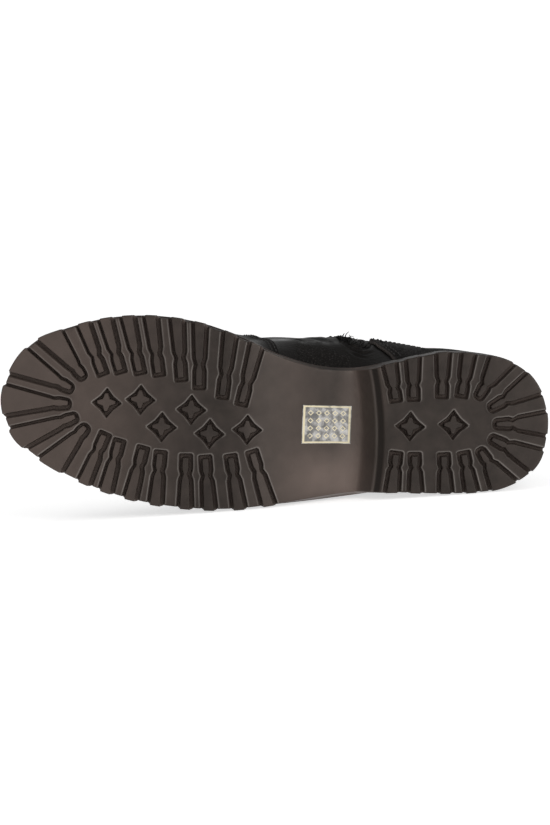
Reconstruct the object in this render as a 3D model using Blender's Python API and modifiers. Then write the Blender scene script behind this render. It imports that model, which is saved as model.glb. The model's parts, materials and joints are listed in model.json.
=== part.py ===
"""A right ankle boot with a lugged rubber sole and a zip on its inner side, lying on its outer side.

Sizes are millimetres in the boot's own frame: X runs from the back of the heel to the toe, Y towards
the inner (medial) side and Z up from the tread. The finished meshes are scaled to metres, and one
empty turns the whole boot onto its outer side, with the toe towards -X and the sole towards -Y.
"""
import math
from bisect import bisect_right
from collections import namedtuple

import bmesh
import bpy
from mathutils import Matrix, Vector
from mathutils.bvhtree import BVHTree
from mathutils.geometry import intersect_ray_tri

MM = 0.001
SEAT_GAP = 0.3
FLAT_ANGLE = math.radians(0.3)
SHARP_ANGLE = math.radians(32.0)
WELD = 0.0001

# Plan outline of the sole, by distance from the heel
SOLE_LENGTH = 268.4
TOE_TIP_Y = 1.5
Outline = namedtuple("Outline", "x medial lateral")
OUTLINE = (
    Outline(3, 14.0, 18.0),
    Outline(10, 24.2, 26.3),
    Outline(22, 31.0, 32.7),
    Outline(36, 33.1, 35.2),
    Outline(52, 33.4, 36.3),
    Outline(74, 28.4, 37.3),
    Outline(93, 23.8, 40.3),
    Outline(112, 24.0, 43.1),
    Outline(131, 28.6, 45.5),
    Outline(151, 36.8, 48.1),
    Outline(170, 42.8, 48.7),
    Outline(193, 45.7, 46.9),
    Outline(217, 43.8, 41.4),
    Outline(240, 37.0, 32.2),
    Outline(252, 31.5, 25.1),
    Outline(262, 21.0, 16.8),
)
OUTLINE_STEPS = 12

# Side profile of the sole: the heel, its breast in two facets, the arch, the flat ball and the toe spring
Profile = namedtuple("Profile", "x bottom top")
PROFILE = (
    Profile(0, 0.0, 33.0),
    Profile(40, 0.0, 31.0),
    Profile(79, 0.0, 29.4),
    Profile(83, 6.0, 29.1),
    Profile(90, 19.5, 28.3),
    Profile(98, 18.0, 26.6),
    Profile(106, 15.4, 24.4),
    Profile(114, 12.0, 21.8),
    Profile(122, 8.2, 19.2),
    Profile(130, 4.6, 16.8),
    Profile(138, 1.9, 14.8),
    Profile(147, 0.3, 13.3),
    Profile(156, 0.0, 12.6),
    Profile(192, 0.0, 12.5),
    Profile(206, 0.6, 13.1),
    Profile(220, 1.9, 14.4),
    Profile(246, 5.4, 17.9),
    Profile(258, 7.4, 19.9),
    Profile(SOLE_LENGTH, 9.2, 21.7),
)
SLAB_HEIGHT = 12.5
RAND_HEIGHT = 3.0
RAND_INSET = 0.3
RAND_OVERLAP = 0.4
RAND_SPACING = 10.0
RIB_DEPTH = 1.0
RIB_SPACING = 9.0
MEDIAL_DRAFT = 1.0
LATERAL_DRAFT = 1.9
DRAFT_X = 100.0
DRAFT_REACH = 26.9
DRAFT_LEAST_HALF = 1.0

# The heel breast bows backwards in plan, most at the medial edge
BREAST_BOW = 2.6
BREAST_BOW_Y = -16.0
BREAST_BOW_REACH = 30.0
BREAST_X = 83.0
BREAST_FLAT = 4.0
BREAST_FADE = 17.0
BREAST_ROUNDS = 6
BREAST_CUTS_Y = (-24.0, -8.0, 8.0)
BREAST_ZONE = (74.0, 99.0)

# Tread: bottle-shaped lugs inside grooves that open at the sole's edge, and stars in diamond recesses
LUG_DEPTH = 3.6
GROOVE = 2.0
GROOVE_OVERRUN = 6.0
TREAD_BELOW = -2.0
# Half-width of a lug at shares of its length from the head: head, shoulder, neck and belly
LugRow = namedtuple("LugRow", "at half")
BOTTLE = (LugRow(0.0, 1.35), LugRow(0.28, 1.45), LugRow(0.37, 0.75), LugRow(0.47, 1.75))
TOE_WEDGE = (LugRow(0.0, 0.7), LugRow(0.18, 1.6), LugRow(0.26, 1.3), LugRow(0.33, 2.0))
HEEL_WEDGE = (LugRow(0.0, 0.7), LugRow(0.30, 1.4), LugRow(0.37, 0.9), LugRow(0.46, 2.3))
BOTTLE_EDGE = 2.45
Bottle = namedtuple("Bottle", "edge_x head_x head_y")
MEDIAL_BOTTLES = (
    Bottle(228.5, 217.5, 15.3),
    Bottle(217.8, 208.9, 16.6),
    Bottle(206.9, 199.4, 16.5),
    Bottle(195.6, 190.3, 15.9),
    Bottle(182.8, 179.4, 13.9),
    Bottle(171.5, 170.7, 10.3),
    Bottle(156.6, 159.4, 6.1),
    Bottle(143.6, 150.2, 3.0),
    Bottle(78.6, 74.4, 7.8),
    Bottle(67.4, 66.1, 8.6),
    Bottle(52.7, 52.4, 10.4),
    Bottle(40.3, 43.1, 11.0),
)
LATERAL_BOTTLES = (
    Bottle(225.7, 215.4, -12.1),
    Bottle(214.7, 208.4, -15.0),
    Bottle(202.6, 196.7, -18.0),
    Bottle(190.0, 188.3, -19.8),
    Bottle(175.4, 176.0, -21.1),
    Bottle(163.6, 166.7, -21.4),
    Bottle(149.0, 154.5, -20.4),
    Bottle(134.6, 144.2, -18.1),
    Bottle(74.9, 73.4, -16.2),
    Bottle(63.3, 64.6, -16.3),
    Bottle(48.6, 50.4, -15.8),
    Bottle(35.9, 40.9, -14.6),
)
Wedge = namedtuple("Wedge", "edge_x edge_y head_x head_y edge_half")
TOE_WEDGES = (
    Wedge(245.2, 34.3, 226.8, 12.9, 5.8),
    Wedge(260.4, 20.9, 232.1, 7.4, 6.8),
    Wedge(266.9, 1.0, 232.9, 0.7, 7.0),
    Wedge(259.5, -17.8, 229.2, -4.9, 5.2),
    Wedge(242.1, -29.9, 224.3, -8.9, 5.8),
)
HEEL_WEDGES = (
    Wedge(24.3, 30.4, 35.4, 10.6, 5.3),
    Wedge(7.7, 19.8, 29.7, 5.9, 5.5),
    Wedge(0.5, 0.2, 27.2, -1.0, 5.0),
    Wedge(4.7, -18.3, 28.9, -7.5, 5.3),
    Wedge(20.3, -31.7, 33.6, -12.8, 6.0),
)
Diamond = namedtuple("Diamond", "x y")
DIAMONDS = (
    Diamond(215.6, 2.1),
    Diamond(199.1, 4.3),
    Diamond(188.3, -8.6),
    Diamond(174.2, 0.4),
    Diamond(164.9, -11.0),
    Diamond(146.6, -8.4),
    Diamond(67.3, -3.7),
    Diamond(46.3, -2.1),
)
DIAMOND_REACH = 7.3
DIAMOND_WAIST = 4.7
STAR_REACH = 4.7
STAR_WAIST = 2.4

# The last: rings from the feather edge to the collar, each given by its front and back points. A ring
# is the sole's own plan drawn in by scale, with the medial waist filled and the ball ahead of it drawn
# in, turning into an oval.
Ring = namedtuple("Ring", "front_x front_z back_x back_z scale fill oval medial lateral sag")
RINGS = (
    Ring(264.8, 21.6, 3.6, 33.3, 0.93, 0.00, 0.00, 37.0, 36.0, 1.0),
    Ring(266.4, 29.0, 1.4, 41.0, 0.95, 0.45, 0.00, 37.0, 36.0, 1.0),
    Ring(262.5, 38.0, 0.6, 49.0, 0.95, 0.85, 0.03, 37.0, 36.0, 0.8),
    Ring(250.0, 46.0, 0.8, 57.0, 0.94, 1.00, 0.10, 37.5, 36.0, 0.5),
    Ring(228.0, 54.5, 2.2, 64.5, 0.92, 1.00, 0.28, 37.5, 36.0, 0.2),
    Ring(202.0, 65.0, 4.4, 73.0, 0.86, 1.00, 0.55, 37.0, 35.5, 0.0),
    Ring(176.0, 78.5, 7.0, 83.0, 0.80, 1.00, 0.80, 35.5, 35.0, 0.0),
    Ring(155.0, 92.0, 9.0, 96.0, 0.80, 1.00, 1.00, 33.0, 35.0, 0.0),
    Ring(139.5, 108.0, 10.5, 111.0, 0.80, 1.00, 1.00, 31.0, 35.5, 0.0),
    Ring(129.0, 130.0, 10.5, 132.0, 0.80, 1.00, 1.00, 29.5, 36.3, 0.0),
    Ring(122.0, 156.0, 8.5, 158.0, 0.80, 1.00, 1.00, 29.0, 36.8, 0.0),
)
LATERAL_TUCK = 0.97
RING_LEVELS = 18
RING_POINTS = 40
FILL_DEPTH = 16.5
FILL_AT = 0.60
FILL_REACH = 0.13
TUCK_DEPTH = 6.0
TUCK_X = 152.0
TUCK_REACH = 16.0
WALL = 2.0
LAST_MIDDLE = Vector((SOLE_LENGTH / 2, 0.0, 40.0))

# Overlays on the upper, seen from the side
OVERLAY = 1.2
Side = namedtuple("Side", "x z")
VAMP_SEAM = (Side(133.0, 0.0), Side(134.0, 24.0), Side(140.0, 44.0), Side(148.0, 64.0), Side(168.0, 100.0))
COUNTER_SEAM = (
    Side(74.0, 0.0),
    Side(75.5, 32.0),
    Side(80.0, 42.0),
    Side(86.0, 52.0),
    Side(86.0, 62.0),
    Side(72.0, 76.0),
    Side(44.0, 86.0),
    Side(0.0, 90.0),
)
SEAM_STEPS = 3
FAR = 60.0

# Insole
INSOLE_INSET = 7.8
INSOLE_THICKNESS = 3.0
INSOLE_SPACING = 14.0

# Zip on the medial side, from above the arch to the collar
ZIP_FOOT = Side(101.5, 58.0)
ZIP_HEAD = Side(84.0, 170.0)
SLOT_WIDTH = 9.0
SLOT_Y = 6.0
TAPE_THICKNESS = 1.0
TAPE_DEPTH = 1.6
TEETH_WIDTH = 5.0
TEETH_THICKNESS = 1.2
ARC_STEPS = 6

# Zip slider and pull tab, with Z off the boot, Y up the zip and X across it
SLIDER_Z = 143.0
SLIDER_LENGTH = 10.0
SLIDER_HEAD = 8.0
SLIDER_TAIL = 6.0
SLIDER_THICKNESS = 1.8
SLIDER_WIDEST = 0.3
SLIDER_CORNER_AT = 0.8
SLIDER_CORNER = 1.0
PIN_RADIUS = 0.55
PIN_SPAN = 5.2
PIN_Y = -1.0
POST_WIDTH = 1.0
POST_LENGTH = 1.6
POST_SINK = 0.4
POST_ABOVE = 0.3
EYE_HOLE = 0.9
EYE_RADIUS = 1.6
EYE_WIDTH = 2.4
EYE_GAP = 0.35
PIN_Z = SLIDER_THICKNESS + EYE_GAP + EYE_RADIUS
PULL_LENGTH = 22.0
PULL_WIDTH = 5.0
PULL_NECK = 5.0
PULL_FLARE = 7.5
PULL_CORNER = 1.5
PULL_THICKNESS = 1.2
PULL_DROP_DEG = 7.0
ROUND_STEPS = 14

# Turns a flat outline drawn in X and Y so that it is seen from the side, in X and Z
SIDEWAYS = Matrix.Rotation(math.radians(90.0), 4, "X")
# Stands a flat outline on edge: its X runs up the zip, its Y off the boot and its thickness across
EDGEWAYS = Matrix(((0, 0, 1, 0), (1, 0, 0, 0), (0, 1, 0, 0), (0, 0, 0, 1)))

# The point that the boot balances about, used to find the face that it lies on
BALANCE = Vector((108.0, -2.0, 52.0))

Finish = namedtuple("Finish", "color roughness metallic")
FINISHES = {
    "outsole": Finish((0.060, 0.047, 0.041), 0.55, 0.0),
    "insole": Finish((0.120, 0.095, 0.075), 0.80, 0.0),
    "upper": Finish((0.012, 0.011, 0.011), 0.40, 0.0),
    "vamp": Finish((0.014, 0.013, 0.013), 0.38, 0.0),
    "heel_counter": Finish((0.016, 0.014, 0.014), 0.45, 0.0),
    "zip_tape": Finish((0.010, 0.010, 0.010), 0.90, 0.0),
    "zip_teeth": Finish((0.020, 0.020, 0.020), 0.45, 0.0),
    "zip_slider": Finish((0.180, 0.170, 0.160), 0.30, 1.0),
    "zip_pull": Finish((0.180, 0.170, 0.160), 0.30, 1.0),
}


class Loop:
    """A closed plan outline, read by the distance along it."""

    def __init__(self, points):
        self.points = points
        self.marks = [0.0]
        for start, end in zip(points, points[1:] + points[:1]):
            self.marks.append(self.marks[-1] + (end - start).length)
        self.length = self.marks[-1]

    def at(self, distance, inset=0.0):
        """The point at a distance along the loop, moved inwards."""
        distance %= self.length
        index = bisect_right(self.marks, distance) - 1
        start = self.points[index]
        along = (self.points[(index + 1) % len(self.points)] - start).normalized()
        inward = Vector((along.y, -along.x))
        return start + along * (distance - self.marks[index]) + inward * inset

    def nearest(self, point):
        """The distance along the loop that lies closest to a point."""
        index = min(range(len(self.points)), key=lambda i: (self.points[i] - point).length_squared)
        return self.marks[index]

    def stretch(self, start, end, inset, spacing):
        """Points from one distance to another, no further apart than the spacing."""
        steps = max(1, math.ceil((end - start) / spacing))
        return [self.at(start + (end - start) * i / steps, inset) for i in range(steps + 1)]


def smooth_loop(points, per_span):
    """A closed curve through the points, with knots spaced by the root of their distance."""
    count = len(points)
    result = []
    for i in range(count):
        p0, p1, p2, p3 = (points[(i + k - 1) % count] for k in range(4))
        t1 = math.sqrt((p1 - p0).length)
        t2 = t1 + math.sqrt((p2 - p1).length)
        t3 = t2 + math.sqrt((p3 - p2).length)
        for step in range(per_span):
            t = t1 + (t2 - t1) * step / per_span
            a1 = p0.lerp(p1, t / t1)
            a2 = p1.lerp(p2, (t - t1) / (t2 - t1))
            a3 = p2.lerp(p3, (t - t2) / (t3 - t2))
            b1 = a1.lerp(a2, t / t2)
            b2 = a2.lerp(a3, (t - t1) / (t3 - t1))
            result.append(b1.lerp(b2, (t - t1) / (t2 - t1)))
    return result


def sole_loop():
    """The sole's plan outline, from the heel along the medial side to the toe and back."""
    medial = [Vector((row.x, row.medial)) for row in OUTLINE]
    lateral = [Vector((row.x, -row.lateral)) for row in reversed(OUTLINE)]
    tip = Vector((SOLE_LENGTH, TOE_TIP_Y))
    return Loop(smooth_loop([Vector((0.0, 0.0))] + medial + [tip] + lateral, OUTLINE_STEPS))


SOLE = sole_loop()


def read_line(line, x):
    """The second value of a list of pairs at x, between the nearest two."""
    index = min(max(bisect_right(line, (x, math.inf)), 1), len(line) - 1)
    (x0, y0), (x1, y1) = line[index - 1], line[index]
    share = min(max((x - x0) / (x1 - x0), 0.0), 1.0)
    return y0 + (y1 - y0) * share


MEDIAL_LINE = sorted((p.x, p.y) for p in SOLE.points[:len(SOLE.points) // 2 + 1])
LATERAL_LINE = sorted((p.x, -p.y) for p in SOLE.points[len(SOLE.points) // 2:] + SOLE.points[:1])
BOTTOM_LINE = [(row.x, row.bottom) for row in PROFILE]
TOP_LINE = [(row.x, row.top) for row in PROFILE]


def sole_top(x):
    """Height of the sole's upper face."""
    return read_line(TOP_LINE, x)


def link(name, mesh, collection):
    """A new object for a mesh."""
    item = bpy.data.objects.new(name, mesh)
    collection.objects.link(item)
    return item


def baked(item):
    """The object's mesh as evaluated, with its modifiers and its own placing applied."""
    bpy.context.view_layer.update()
    seen = item.evaluated_get(bpy.context.evaluated_depsgraph_get())
    mesh = bpy.data.meshes.new_from_object(seen)
    mesh.transform(item.matrix_world)
    return mesh


def welded(mesh):
    """Join the loose caps of a filled curve to its sides, and make each cap one face."""
    work = bmesh.new()
    work.from_mesh(mesh)
    bmesh.ops.remove_doubles(work, verts=work.verts, dist=WELD)
    bmesh.ops.dissolve_limit(work, angle_limit=FLAT_ANGLE, verts=work.verts, edges=work.edges)
    bmesh.ops.recalc_face_normals(work, faces=work.faces)
    work.to_mesh(mesh)
    work.free()
    return mesh


def plate(name, outlines, low, high, turn=Matrix()):
    """A solid plate from flat outlines, between two heights, turned into place."""
    curve = bpy.data.curves.new(name, "CURVE")
    curve.dimensions = "2D"
    curve.fill_mode = "BOTH"
    curve.extrude = (high - low) / 2
    for outline in outlines:
        spline = curve.splines.new("POLY")
        spline.points.add(len(outline) - 1)
        for knot, point in zip(spline.points, outline):
            knot.co = (point[0], point[1], 0.0, 1.0)
        spline.use_cyclic_u = True
    drawn = link(name, curve, CUTTERS)
    drawn.matrix_world = turn @ Matrix.Translation((0.0, 0.0, (low + high) / 2))
    mesh = welded(baked(drawn))
    bpy.data.objects.remove(drawn)
    bpy.data.curves.remove(curve)
    item = link(name, mesh, CUTTERS)
    item.hide_render = True
    item.display_type = "WIRE"
    return item


def combined(item, other, operation):
    """Join, cut or intersect an object with another, which is used up."""
    modifier = item.modifiers.new(operation.lower(), "BOOLEAN")
    modifier.operation = operation
    modifier.object = other
    mesh = baked(item)
    item.modifiers.clear()
    item.matrix_world = Matrix()
    item.data = mesh
    bpy.data.objects.remove(other)
    return item


def lug_list():
    """Edge point, head point, edge half-width and rows of every lug."""
    lugs = []
    for row in MEDIAL_BOTTLES:
        edge = Vector((row.edge_x, read_line(MEDIAL_LINE, row.edge_x)))
        lugs.append((edge, Vector((row.head_x, row.head_y)), BOTTLE_EDGE, BOTTLE))
    for row in LATERAL_BOTTLES:
        edge = Vector((row.edge_x, -read_line(LATERAL_LINE, row.edge_x)))
        lugs.append((edge, Vector((row.head_x, row.head_y)), BOTTLE_EDGE, BOTTLE))
    for wedges, rows in ((TOE_WEDGES, TOE_WEDGE), (HEEL_WEDGES, HEEL_WEDGE)):
        for row in wedges:
            edge = Vector((row.edge_x, row.edge_y))
            lugs.append((edge, Vector((row.head_x, row.head_y)), row.edge_half, rows))
    return lugs


def lug_groove(edge, head, edge_half, rows):
    """The groove round one lug, from the sole's edge round the head and back to the edge."""
    along = (edge - head).normalized()
    across = Vector((-along.y, along.x))
    length = (edge - head).length
    belly = rows[-1]
    edge_half += (edge_half - belly.half) * GROOVE_OVERRUN / (length * (1.0 - belly.at))
    stations = [(row.at * length, row.half) for row in rows[1:]] + [(length + GROOVE_OVERRUN, edge_half)]
    inner = [(GROOVE, rows[0].half)] + stations
    outer = [(0.0, rows[0].half + GROOVE)] + [(at, half + GROOVE) for at, half in stations]
    left = [head + along * at + across * half for at, half in inner]
    right = [head + along * at - across * half for at, half in inner]
    outer_left = [head + along * at + across * half for at, half in outer]
    outer_right = [head + along * at - across * half for at, half in outer]
    return list(reversed(outer_left)) + outer_right + list(reversed(right)) + left


def diamond_outlines(row):
    """The recess of one diamond and the star that stays in it, both with four points and a waist."""
    centre = Vector((row.x, row.y))
    outlines = []
    for reaches in ((DIAMOND_REACH, DIAMOND_WAIST), (STAR_REACH, STAR_WAIST)):
        outline = []
        for step in range(8):
            angle = math.radians(45.0 * step)
            outline.append(centre + Vector((math.cos(angle), math.sin(angle))) * reaches[step % 2])
        outlines.append(outline)
    return outlines


def ribbed_outline():
    """The sole's outline, standing out as a rib at the end of each lug."""
    spans = []
    for edge, _, edge_half, _ in lug_list():
        middle = SOLE.nearest(edge)
        half = edge_half + GROOVE / 2
        spans.append(((middle - half) % SOLE.length, 2 * half))
    spans.sort()
    points = []
    for index, (start, width) in enumerate(spans):
        end = start + width
        following = spans[(index + 1) % len(spans)][0]
        if following < end:
            following += SOLE.length
        points += SOLE.stretch(start, end, 0.0, RIB_SPACING)
        points += SOLE.stretch(end, following, RIB_DEPTH, RIB_SPACING)
    return points


def breast_shift(x, y, height):
    """How far the bow of the heel breast carries a point of the flat slab forwards."""
    fade = min(max(1.0 - (abs(x - BREAST_X) - BREAST_FLAT) / BREAST_FADE, 0.0), 1.0)
    fade *= 1.0 - min(height / (SLAB_HEIGHT - RAND_HEIGHT), 1.0)
    return BREAST_BOW * ((y - BREAST_BOW_Y) / BREAST_BOW_REACH) ** 2 * fade


def straightened(point):
    """The plan point with the bow of the breast taken out."""
    x = point.x
    for _ in range(BREAST_ROUNDS):
        x = point.x - breast_shift(x, point.y, point.z)
    return Vector((x, point.y, point.z))


def bent(point):
    """A point of the flat, straightened slab carried to the sole's side profile."""
    x, y, height = point
    low = read_line(BOTTOM_LINE, x)
    high = sole_top(x)
    rand = SLAB_HEIGHT - RAND_HEIGHT
    if height <= LUG_DEPTH:
        z = low + height
    elif height >= rand:
        z = high - (SLAB_HEIGHT - height)
    else:
        share = (height - LUG_DEPTH) / (rand - LUG_DEPTH)
        z = low + LUG_DEPTH + (high - RAND_HEIGHT - low - LUG_DEPTH) * share
    x += breast_shift(x, y, height)
    draft, edge = (MEDIAL_DRAFT, MEDIAL_LINE) if y > 0.0 else (LATERAL_DRAFT, LATERAL_LINE)
    draft *= math.exp(-(((x - DRAFT_X) / DRAFT_REACH) ** 2)) * (1.0 - min(height / rand, 1.0))
    y -= draft * y / max(read_line(edge, x), DRAFT_LEAST_HALF)
    return Vector((x, y, z))


def sliced(work, x_cuts, y_cuts, zone):
    """Cut a mesh at every x, and inside the zone at every y, so that it can bend there."""
    for x in x_cuts:
        everything = work.verts[:] + work.edges[:] + work.faces[:]
        bmesh.ops.bisect_plane(work, geom=everything, plane_co=(x, 0, 0), plane_no=(1, 0, 0), dist=WELD)
    for y in y_cuts:
        faces = [f for f in work.faces if zone[0] < f.calc_center_median().x < zone[1]]
        near = faces + list({e for f in faces for e in f.edges}) + list({v for f in faces for v in f.verts})
        bmesh.ops.bisect_plane(work, geom=near, plane_co=(0, y, 0), plane_no=(0, 1, 0), dist=WELD)


def make_outsole():
    """The rubber unit: ribbed slab and rand, cut by the tread and bent to the side profile."""
    sole = plate("outsole", [ribbed_outline()], 0.0, SLAB_HEIGHT - RAND_HEIGHT + RAND_OVERLAP)
    rand_line = SOLE.stretch(0.0, SOLE.length, RAND_INSET, RAND_SPACING)[:-1]
    rand = plate("rand", [rand_line], SLAB_HEIGHT - RAND_HEIGHT, SLAB_HEIGHT)
    grooves = [lug_groove(*lug) for lug in lug_list()]
    for row in DIAMONDS:
        grooves += diamond_outlines(row)
    combined(sole, plate("tread", grooves, TREAD_BELOW, LUG_DEPTH), "DIFFERENCE")
    combined(sole, rand, "UNION")
    work = bmesh.new()
    work.from_mesh(sole.data)
    bmesh.ops.triangulate(work, faces=work.faces)
    for vertex in work.verts:
        vertex.co = straightened(vertex.co)
    sliced(work, [row.x for row in PROFILE[1:-1]], BREAST_CUTS_Y, BREAST_ZONE)
    for vertex in work.verts:
        vertex.co = bent(vertex.co)
    bmesh.ops.dissolve_limit(work, angle_limit=FLAT_ANGLE, verts=work.verts, edges=work.edges)
    bmesh.ops.triangulate(work, faces=work.faces)
    work.to_mesh(sole.data)
    work.free()
    return sole


def make_insole():
    """The footbed: a plate inside the upper that follows the sole's upper face."""
    line = SOLE.stretch(0.0, SOLE.length, INSOLE_INSET, INSOLE_SPACING)[:-1]
    insole = plate("insole", [line], 0.0, INSOLE_THICKNESS)
    work = bmesh.new()
    work.from_mesh(insole.data)
    sliced(work, [row.x for row in PROFILE[1:-1]], (), BREAST_ZONE)
    for vertex in work.verts:
        vertex.co.z += sole_top(vertex.co.x) + SEAT_GAP
    bmesh.ops.dissolve_limit(work, angle_limit=FLAT_ANGLE, verts=work.verts, edges=work.edges)
    bmesh.ops.triangulate(work, faces=work.faces)
    work.to_mesh(insole.data)
    work.free()
    return insole


def ring_at(level):
    """The ring at a level from 0 at the feather edge to 1 at the collar, eased between the rows."""
    place = level * (len(RINGS) - 1)
    index = min(int(place), len(RINGS) - 2)
    t = place - index
    rows = [RINGS[min(max(index + k, 0), len(RINGS) - 1)] for k in (-1, 0, 1, 2)]
    values = []
    for a, b, c, d in zip(*rows):
        slope_b = (c - a) / 2
        slope_c = (d - b) / 2
        bow = (2 * b - 2 * c + slope_b + slope_c) * t ** 3
        values.append(bow + (3 * c - 3 * b - 2 * slope_b - slope_c) * t ** 2 + slope_b * t + b)
    return Ring(*values)


def last_point(level, turn):
    """A point on the upper's outer face: turn 0 is the front, a quarter medial, a half the back."""
    ring = ring_at(level)
    share = (1.0 - math.cos(2 * math.pi * turn)) / 2
    round_half = abs(math.sin(2 * math.pi * turn))
    plan_x = SOLE_LENGTH * (1.0 - share)
    x = ring.front_x + (ring.back_x - ring.front_x) * share
    if turn <= 0.5:
        side = 1.0
        fill = FILL_DEPTH * math.exp(-(((share - FILL_AT) / FILL_REACH) ** 2))
        tuck = TUCK_DEPTH * math.exp(-(((x - TUCK_X) / TUCK_REACH) ** 2))
        plan = read_line(MEDIAL_LINE, plan_x) + ring.fill * (fill - tuck)
        oval = ring.medial * round_half
    else:
        side = -1.0
        plan = LATERAL_TUCK * read_line(LATERAL_LINE, plan_x)
        oval = ring.lateral * round_half
    half = (1.0 - ring.oval) * ring.scale * plan + ring.oval * oval
    z = ring.front_z + (ring.back_z - ring.front_z) * share
    straight = sole_top(ring.front_x) + (sole_top(ring.back_x) - sole_top(ring.front_x)) * share
    return Vector((x, side * half, z + ring.sag * (sole_top(x) - straight)))


def last_surface(offset):
    """The upper's outer face as an open grid of rings, moved along its normals.

    Every cell is split the same way, so that two such faces stay parallel.
    """
    work = bmesh.new()
    rings = []
    for level in range(RING_LEVELS + 1):
        turns = [i / RING_POINTS for i in range(RING_POINTS)]
        rings.append([work.verts.new(last_point(level / RING_LEVELS, turn)) for turn in turns])
    for low, high in zip(rings, rings[1:]):
        for i in range(RING_POINTS):
            j = (i + 1) % RING_POINTS
            work.faces.new((low[i], high[i], high[j]))
            work.faces.new((low[i], high[j], low[j]))
    bmesh.ops.recalc_face_normals(work, faces=work.faces)
    work.normal_update()
    nose = rings[2][0]
    if nose.normal.dot(nose.co - LAST_MIDDLE) < 0.0:
        bmesh.ops.reverse_faces(work, faces=work.faces)
        work.normal_update()
    level = Vector((1.0, 1.0, 0.0))
    outward = {vertex: vertex.normal.copy() for vertex in work.verts}
    for vertex in rings[0]:
        outward[vertex] = (vertex.normal * level).normalized()
    for vertex, direction in outward.items():
        vertex.co += direction * offset
    return work


def shell(name, offset, thickness):
    """A wall of the upper's own form: its outer face lies at the offset."""
    work = last_surface(offset)
    mesh = bpy.data.meshes.new(name)
    work.to_mesh(mesh)
    work.free()
    item = link(name, mesh, CUTTERS)
    wall = item.modifiers.new("wall", "SOLIDIFY")
    wall.thickness = thickness
    wall.offset = -1.0
    wall.use_even_offset = True
    item.data = baked(item)
    item.modifiers.clear()
    return item


def side_plate(name, outline, y_low, y_high):
    """A block with a side-view outline, between two distances towards the medial side."""
    return plate(name, [outline], -y_high, -y_low, SIDEWAYS)


def zip_outline(width):
    """A long slot of a width along the zip, round at its foot and open past the collar."""
    foot = Vector(ZIP_FOOT)
    head = Vector(ZIP_HEAD)
    along = (head - foot).normalized()
    across = Vector((-along.y, along.x))
    points = [head + across * width / 2]
    for step in range(ARC_STEPS + 1):
        angle = math.pi * step / ARC_STEPS
        points.append(foot + across * math.cos(angle) * width / 2 - along * math.sin(angle) * width / 2)
    points.append(head - across * width / 2)
    return points


def behind_seam(seam, far_x):
    """The side-view outline of an overlay: its eased seam, closed by two corners far off."""
    corners = [Vector((far_x, seam[-1].z)), Vector((far_x, seam[0].z))]
    eased = smooth_loop([Vector(row) for row in seam] + corners, SEAM_STEPS)
    return eased[:SEAM_STEPS * (len(seam) - 1) + 1] + corners


def make_upper():
    """The hollow leather wall with the zip's slot cut in its medial side."""
    upper = shell("upper", 0.0, WALL)
    return combined(upper, side_plate("slot", zip_outline(SLOT_WIDTH), SLOT_Y, FAR), "DIFFERENCE")


def make_vamp():
    """The front leather: the upper's own form just outside it, from the seam to the toe."""
    vamp = shell("vamp", SEAT_GAP + OVERLAY, OVERLAY)
    form = side_plate("vamp_form", behind_seam(VAMP_SEAM, SOLE_LENGTH + FAR), -FAR, FAR)
    return combined(vamp, form, "INTERSECT")


def make_counter():
    """The heel leather: the upper's own form just outside it, behind its curved seam."""
    counter = shell("heel_counter", SEAT_GAP + OVERLAY, OVERLAY)
    form = side_plate("counter_form", behind_seam(COUNTER_SEAM, -FAR), -FAR, FAR)
    return combined(counter, form, "INTERSECT")


def make_zip_tape():
    """The cloth strip that fills the slot, set back from the leather's face."""
    tape = shell("zip_tape", TAPE_THICKNESS - TAPE_DEPTH, TAPE_THICKNESS)
    form = side_plate("tape_form", zip_outline(SLOT_WIDTH - 2 * SEAT_GAP), SLOT_Y, FAR)
    return combined(tape, form, "INTERSECT")


def make_zip_teeth():
    """The closed row of teeth, standing on the tape."""
    top = TAPE_THICKNESS - TAPE_DEPTH + SEAT_GAP + TEETH_THICKNESS
    teeth = shell("zip_teeth", top, TEETH_THICKNESS)
    return combined(teeth, side_plate("teeth_form", zip_outline(TEETH_WIDTH), SLOT_Y, FAR), "INTERSECT")


def slider_place():
    """The slider's frame on the teeth: X across the zip, Y up it and Z off the boot."""
    foot = Vector(ZIP_FOOT)
    head = Vector(ZIP_HEAD)
    side = foot.lerp(head, (SLIDER_Z - foot.y) / (head.y - foot.y))
    work = last_surface(TAPE_THICKNESS - TAPE_DEPTH + SEAT_GAP + TEETH_THICKNESS + SEAT_GAP)
    work.normal_update()
    tree = BVHTree.FromBMesh(work)
    place, normal, _, _ = tree.ray_cast(Vector((side.x, 2 * FAR, side.y)), Vector((0, -1, 0)))
    work.free()
    up = Vector((head.x - foot.x, 0.0, head.y - foot.y))
    up = (up - normal * up.dot(normal)).normalized()
    across = up.cross(normal)
    turn = Matrix((across, up, normal)).transposed().to_4x4()
    return Matrix.Translation(place) @ turn


def circle(radius, steps):
    """Points round a circle."""
    turns = [2 * math.pi * i / steps for i in range(steps)]
    return [Vector((math.cos(a), math.sin(a))) * radius for a in turns]


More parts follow.
